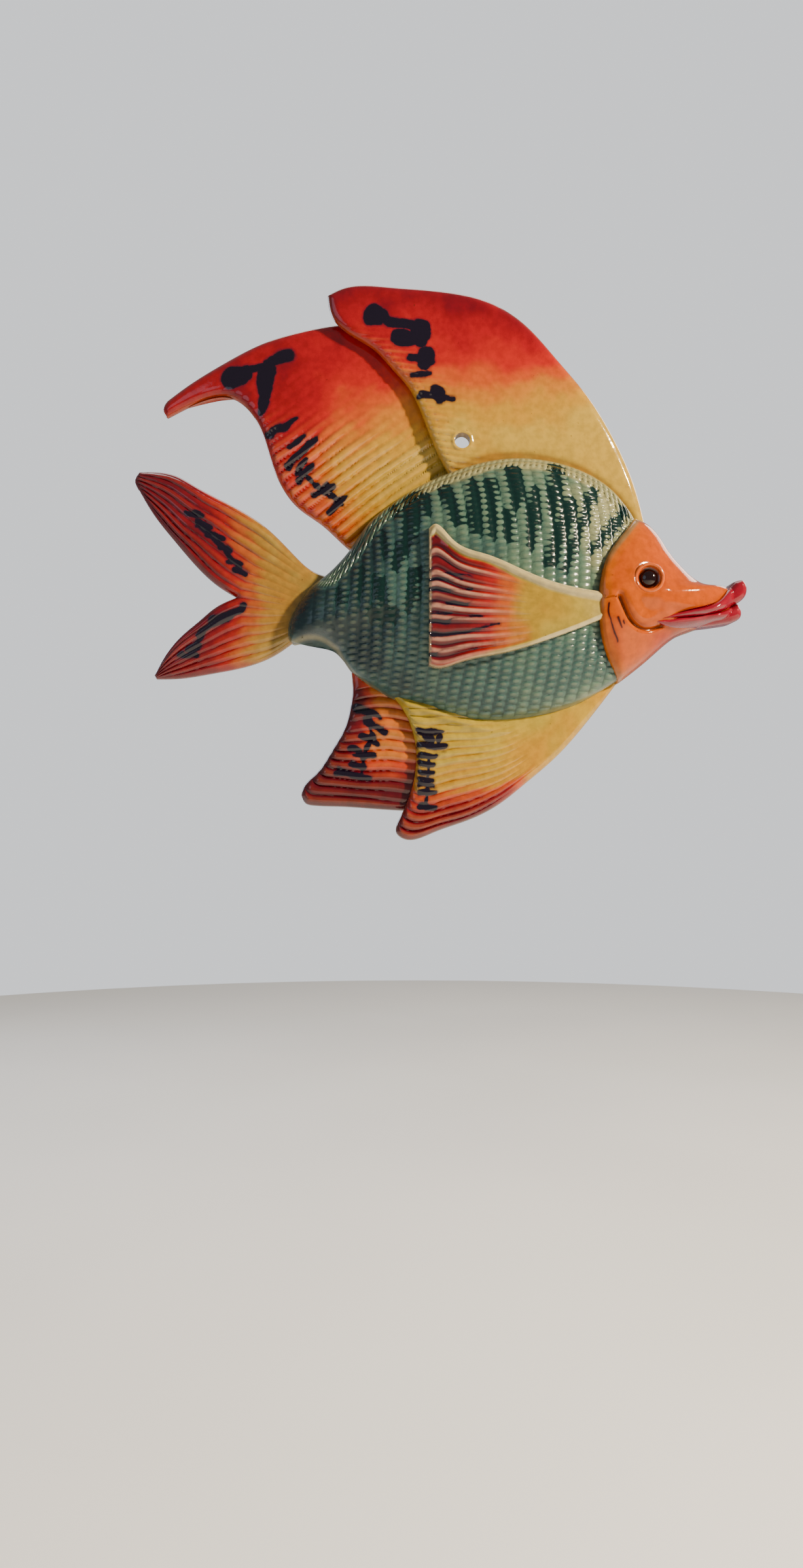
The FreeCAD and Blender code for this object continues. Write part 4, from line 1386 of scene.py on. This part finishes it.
@dataclass
class Eye:
    """The eye: a rolled ring seated in the head, with a glossy dark eyeball in it."""

    ring: float = 5.3
    wall: float = 1.3
    ball: float = 3.05
    crown: float = 0.8
    floor: float = 2.3

    def build(self) -> list[Piece]:
        """Build the ring and the eyeball and dress them."""
        centre, top, floor = SIZE.place(EYE), SIZE.top_of("eye_ring"), EYE_SEAT + self.floor
        bore, turn = self.ring - self.wall, np.linspace(0, math.pi, 22)
        roll = np.stack((self.ring - self.wall / 2 * (1 + np.cos(turn)),
                         top - self.crown + self.crown * np.sin(turn)), -1)
        inner = np.stack((bore - 0.35 * np.sin(np.linspace(0, 1.5, 8)),
                          np.linspace(floor + 0.5, top - self.crown, 8)), -1)
        profile = np.concatenate(([(0, floor), (bore - 1.1, floor), (bore - 0.6, floor + 0.15)],
                                  inner, roll, [(self.ring, EYE_SEAT), (0, EYE_SEAT)]))
        ring = self.spun("Eye_ring", centre, profile, 128,
                         0.30 + 0.45 * step(bore - 0.5, bore + 0.2, profile[:, 0]))
        dress(ring, EYE_GLAZE, "eye_ring")
        dome, high = np.linspace(0, math.pi / 2, 26), SIZE.top_of("eyeball") - floor
        profile = np.concatenate((
            np.stack((self.ball * np.sin(dome), floor + high * np.cos(dome)), -1),
            [(self.ball, floor - 0.3), (0, floor - 0.3)]))
        ball = self.spun("Eyeball", centre, profile, 96, np.full(len(profile), 0.2))
        return [ring, dress(ball, PUPIL_GLAZE, "eyeball")]

    def spun(self, name: str, centre: Array, profile: Array, around: int, fade: Array) -> Piece:
        """Turn a profile of radius and height, with a fade at each row, round an axis."""
        radius, height, fade = (np.repeat(part[:, None], around, 1)
                                for part in (profile[:, 0], profile[:, 1], fade))
        grid = np.stack((radius, height), -1)
        return turned(name, centre, radius, height, around, painted(grid, fade))


@dataclass
class Pectoral:
    """The pectoral fin: a ribbed pad on the body, with a thick rolled rim along its top."""

    crest: tuple[float, float] = (2.3, -29.1)
    reach: float = 18.1
    fall: float = 5.5
    foot: float = 26.0
    plan: Plan = Plan(
        bottom=rail([(-5.6, -41.3), (-4.6, -41.7), (-1.0, -40.9), (6.1, -39.2), (12.2, -37.2),
                     (17.3, -35.1), (23.5, -32.2)]),
        top=rail([(-5.6, -17.6), (-4.9, -16.9), (-2.0, -19.5), (3.1, -22.2), (9.2, -25.0),
                  (14.3, -27.0), (22.6, -28.4)]),
        left=rail([(-5.6, -41.3), (-5.6, -17.6)]),
        right=rail([(23.5, -32.2), (22.6, -28.4)]),
        across=250, up=300)
    marks: tuple[Stroke, ...] = (
        ((-5.5, -25.5), (1.0, -26.2), 1.5), ((-5.5, -26.8), (-0.8, -27.2), 1.5),
        ((-5.5, -28.3), (0.9, -28.5), 1.8), ((-5.5, -30.9), (0.6, -30.8), 1.8),
        ((-5.5, -32.5), (-2.0, -32.4), 1.3), ((-5.5, -33.7), (2.5, -33.5), 1.8),
        ((-5.5, -36.4), (0.0, -35.6), 1.7), ((0.0, -35.6), (5.1, -34.7), 1.3),
        ((-5.5, -39.2), (0.5, -38.1), 1.6), ((0.5, -38.1), (5.7, -37.3), 1.3))

    def build(self) -> Piece:
        """Build the fin and dress it."""
        at = self.plan.grid()
        places, gap = at.places, from_border(at.places)
        wave = ribs(at.t * 13.0 + 0.10 * mottle(places, 9, 61), 62) ** 2
        wave = (wave - 0.36) * step(0.66, 0.16, at.s) * step(1.0, 0.90, at.t)
        dish = bowl(places, self.crest, self.reach, self.fall) + SIZE.top_of("pectoral_fin")
        proud = np.maximum(dish, BODY_DOME.height(places) + 1.3)
        top_gap = away_from(places, self.plan.top.line())
        low_gap = away_from(places, self.plan.bottom.line())
        roll = 1.15 * hump(top_gap - 1.7, 1.25) + 0.45 * hump(low_gap - 1.2, 0.8)
        heights = proud - 1.5 * (1 - round_over(gap, 1.5)) \
            + step(0.1, 0.9, gap) * (wave * 1.15 + roll - 0.5)
        band = step(4.0, 2.4, top_gap + 0.3 * mottle(places, 6, 64))
        tone = 0.04 + 0.62 * step(-1.5, 10.0, at.x) + 0.20 * step(8, 20, at.x) \
            + 0.25 * step(1.8, 0.9, low_gap) + 0.08 * mottle(places, 7, 63)
        paint = painted(places, tone * (1 - band) + band, SMOOTH + wave * (1 - band),
                        brushed(places, self.marks) + (wave + 0.15) * 1.6, gap)
        piece = casting("Pectoral_fin", places, heights, self.foot, paint)
        return dress(piece, PECTORAL_GLAZE, "pectoral_fin")


@dataclass
class BackShell:
    """The bisque back: closing plate, rolled arris, ring foot and kiln vent.

    A profile is carried round the foot's middle: each ring is a blend between the plate's
    outline and a circle, at a height above the wall.
    """

    middle: tuple[float, float] = (2.3, -26.6)
    foot: float = 34.0
    width: float = 6.0
    vent: float = 3.0
    back: float = 3.0
    around: int = 900

    def build(self) -> Piece:
        """Build the back and dress it."""
        outline = rail(BODY_BACK, FOREHEAD, JAW[:-1] + [BODY_BELLY[-1]], BODY_BELLY[::-1],
                       PEDUNCLE).line()
        centre = SIZE.place(self.middle)
        away = outline - centre
        turn = np.arctan2(away[:, 1], away[:, 0])
        order = np.argsort(turn)
        angle = np.linspace(-math.pi, math.pi, self.around, endpoint=False)
        reach = np.interp(angle, turn[order], np.hypot(*away.T)[order], period=2 * math.pi)
        rim, back, vent = SHELL_FOOT, self.back, self.vent
        side = reach - 0.02
        start, shoulder, inside = side - 1.4, self.foot + 1.2, self.foot - self.width
        rings = [(POLE, rim), (reach * 0.5, rim), (side, rim)]
        rings += quarter((side, back + 1.4), (start, back), False, 9)
        rings += [(start + (shoulder - start) * share, back) for share in (0.25, 0.5, 0.75, 1.0)]
        rings += quarter((shoulder, back), (self.foot, back - 1.2), True)
        rings += quarter((self.foot, 0.8), (self.foot - 0.8, 0), False)
        rings += quarter((inside + 0.8, 0), (inside, 0.8), True)
        rings += quarter((inside, back - 0.72), (inside - 1.2, back), True)
        rings += [(radius, back) for radius in (20.0, 12.0, 6.0, vent + 0.7)]
        rings += quarter((vent + 0.7, back), (vent, back + 0.7), True)
        rings += [(vent, rim - 0.6), (POLE, rim - 0.6)]
        radius, height = (np.array([np.broadcast_to(ring[axis], reach.shape) for ring in rings])
                          for axis in (0, 1))
        edge = np.clip(reach - radius, 0, 9) + np.clip(8 - height, 0, 9) * 0.3
        piece = turned("Bisque_back", centre, radius, height, self.around, {"edge": edge})
        return dress(piece, Bisque(), "back_shell")


# ---------------------------------------------------------------- studio

@dataclass
class Studio:
    """Plain pale floor, soft studio light and the camera."""

    eye_point: tuple[float, float, float] = (-0.0217, -0.424, -0.12265)
    floor_drop: float = 0.30
    floor_reach: float = 1.5
    floor_sides: int = 96
    lens: float = 18.06258
    sensor: float = 24.0
    lamps: tuple[tuple[str, tuple[float, float, float], float, float, Colour], ...] = field(
        default=(("Key", (0.95, -0.62, 0.45), 0.11, 44.0, (255, 234, 200)),
                 ("Fill", (-0.9, -0.9, 0.2), 0.9, 2.5, (214, 228, 255)),
                 ("Back_right", (0.8, 0.9, 0.5), 0.6, 5.0, (255, 244, 230)),
                 ("Back_left", (-0.8, 0.9, 0.3), 0.6, 4.0, (226, 236, 255)),
                 ("Top", (0.0, 0.9, 1.3), 1.0, 6.0, (255, 250, 244))))
    ambient: float = 0.34
    backdrop: float = 1.15

    def build(self) -> None:
        """Set the floor, the lamps, the world and the camera."""
        low, high = CAD_BOX
        middle = [(a + b) / 2 for a, b in zip(low, high)]
        turn = np.linspace(0, 2 * math.pi, self.floor_sides, endpoint=False)
        disc = np.stack((self.floor_reach * np.cos(turn), self.floor_reach * np.sin(turn),
                         turn * 0 + low[2] - self.floor_drop), -1)
        mesh = bpy.data.meshes.new("Floor")
        mesh.from_pydata(disc.tolist(), [], [list(range(self.floor_sides))])
        floor = bpy.data.objects.new("Floor", mesh)
        bpy.context.scene.collection.objects.link(floor)
        floor.data.materials.append(Plain("Floor_paint", (244, 243, 240), 0.85).make())
        for name, place, size, power, shade in self.lamps:
            light = bpy.data.lights.new(name, "AREA")
            light.shape, light.size, light.energy = "DISK", size, power
            light.color = colour(*shade)[:3]
            lamp = bpy.data.objects.new(name, light)
            bpy.context.scene.collection.objects.link(lamp)
            lamp.location = place
            aim = [m - p for m, p in zip(middle, place)]
            lamp.rotation_euler = Vector(aim).to_track_quat("-Z", "Y").to_euler()
        world = bpy.data.worlds.new("Studio")
        world.use_nodes = True
        sky = world.node_tree.nodes["Background"]
        sky.inputs["Color"].default_value = colour(236, 238, 241)
        seen = world.node_tree.nodes.new("ShaderNodeLightPath").outputs["Is Camera Ray"]
        level = world.node_tree.nodes.new("ShaderNodeMapRange")
        level.inputs["To Min"].default_value = self.ambient
        level.inputs["To Max"].default_value = self.backdrop
        world.node_tree.links.new(seen, level.inputs["Value"])
        world.node_tree.links.new(level.outputs["Result"], sky.inputs["Strength"])
        bpy.context.scene.world = world
        data = bpy.data.cameras.new("Camera")
        data.sensor_fit, data.sensor_height, data.lens = "VERTICAL", self.sensor, self.lens
        camera = bpy.data.objects.new("Camera", data)
        camera.location = self.eye_point
        camera.rotation_euler = (math.pi / 2, 0, 0)
        bpy.context.scene.collection.objects.link(camera)
        bpy.context.scene.camera = camera


def main() -> None:
    """Build every piece in order and note the sizes."""
    logging.basicConfig(level=logging.INFO, format="%(name)s: %(message)s")
    BackShell().build()
    ScaledBody().build()
    FrontDorsal().build()
    RearDorsal().build()
    for side in Side:
        TailLobe(name=f"Tail_{side.value}", node=f"tail_{side.value}_lobe",
                 slot="tail_red_to_yellow", glaze=TAIL_GLAZE, plan=TAIL_PLANS[side],
                 marks=TAIL_MARKS[side], side=side).build()
    RearAnal().build()
    Belly().build()
    Head().build()
    for side in Side:
        Lip(side).build()
    Eye().build()
    Pectoral().build()
    Studio().build()


if __name__ == "__main__":
    main()
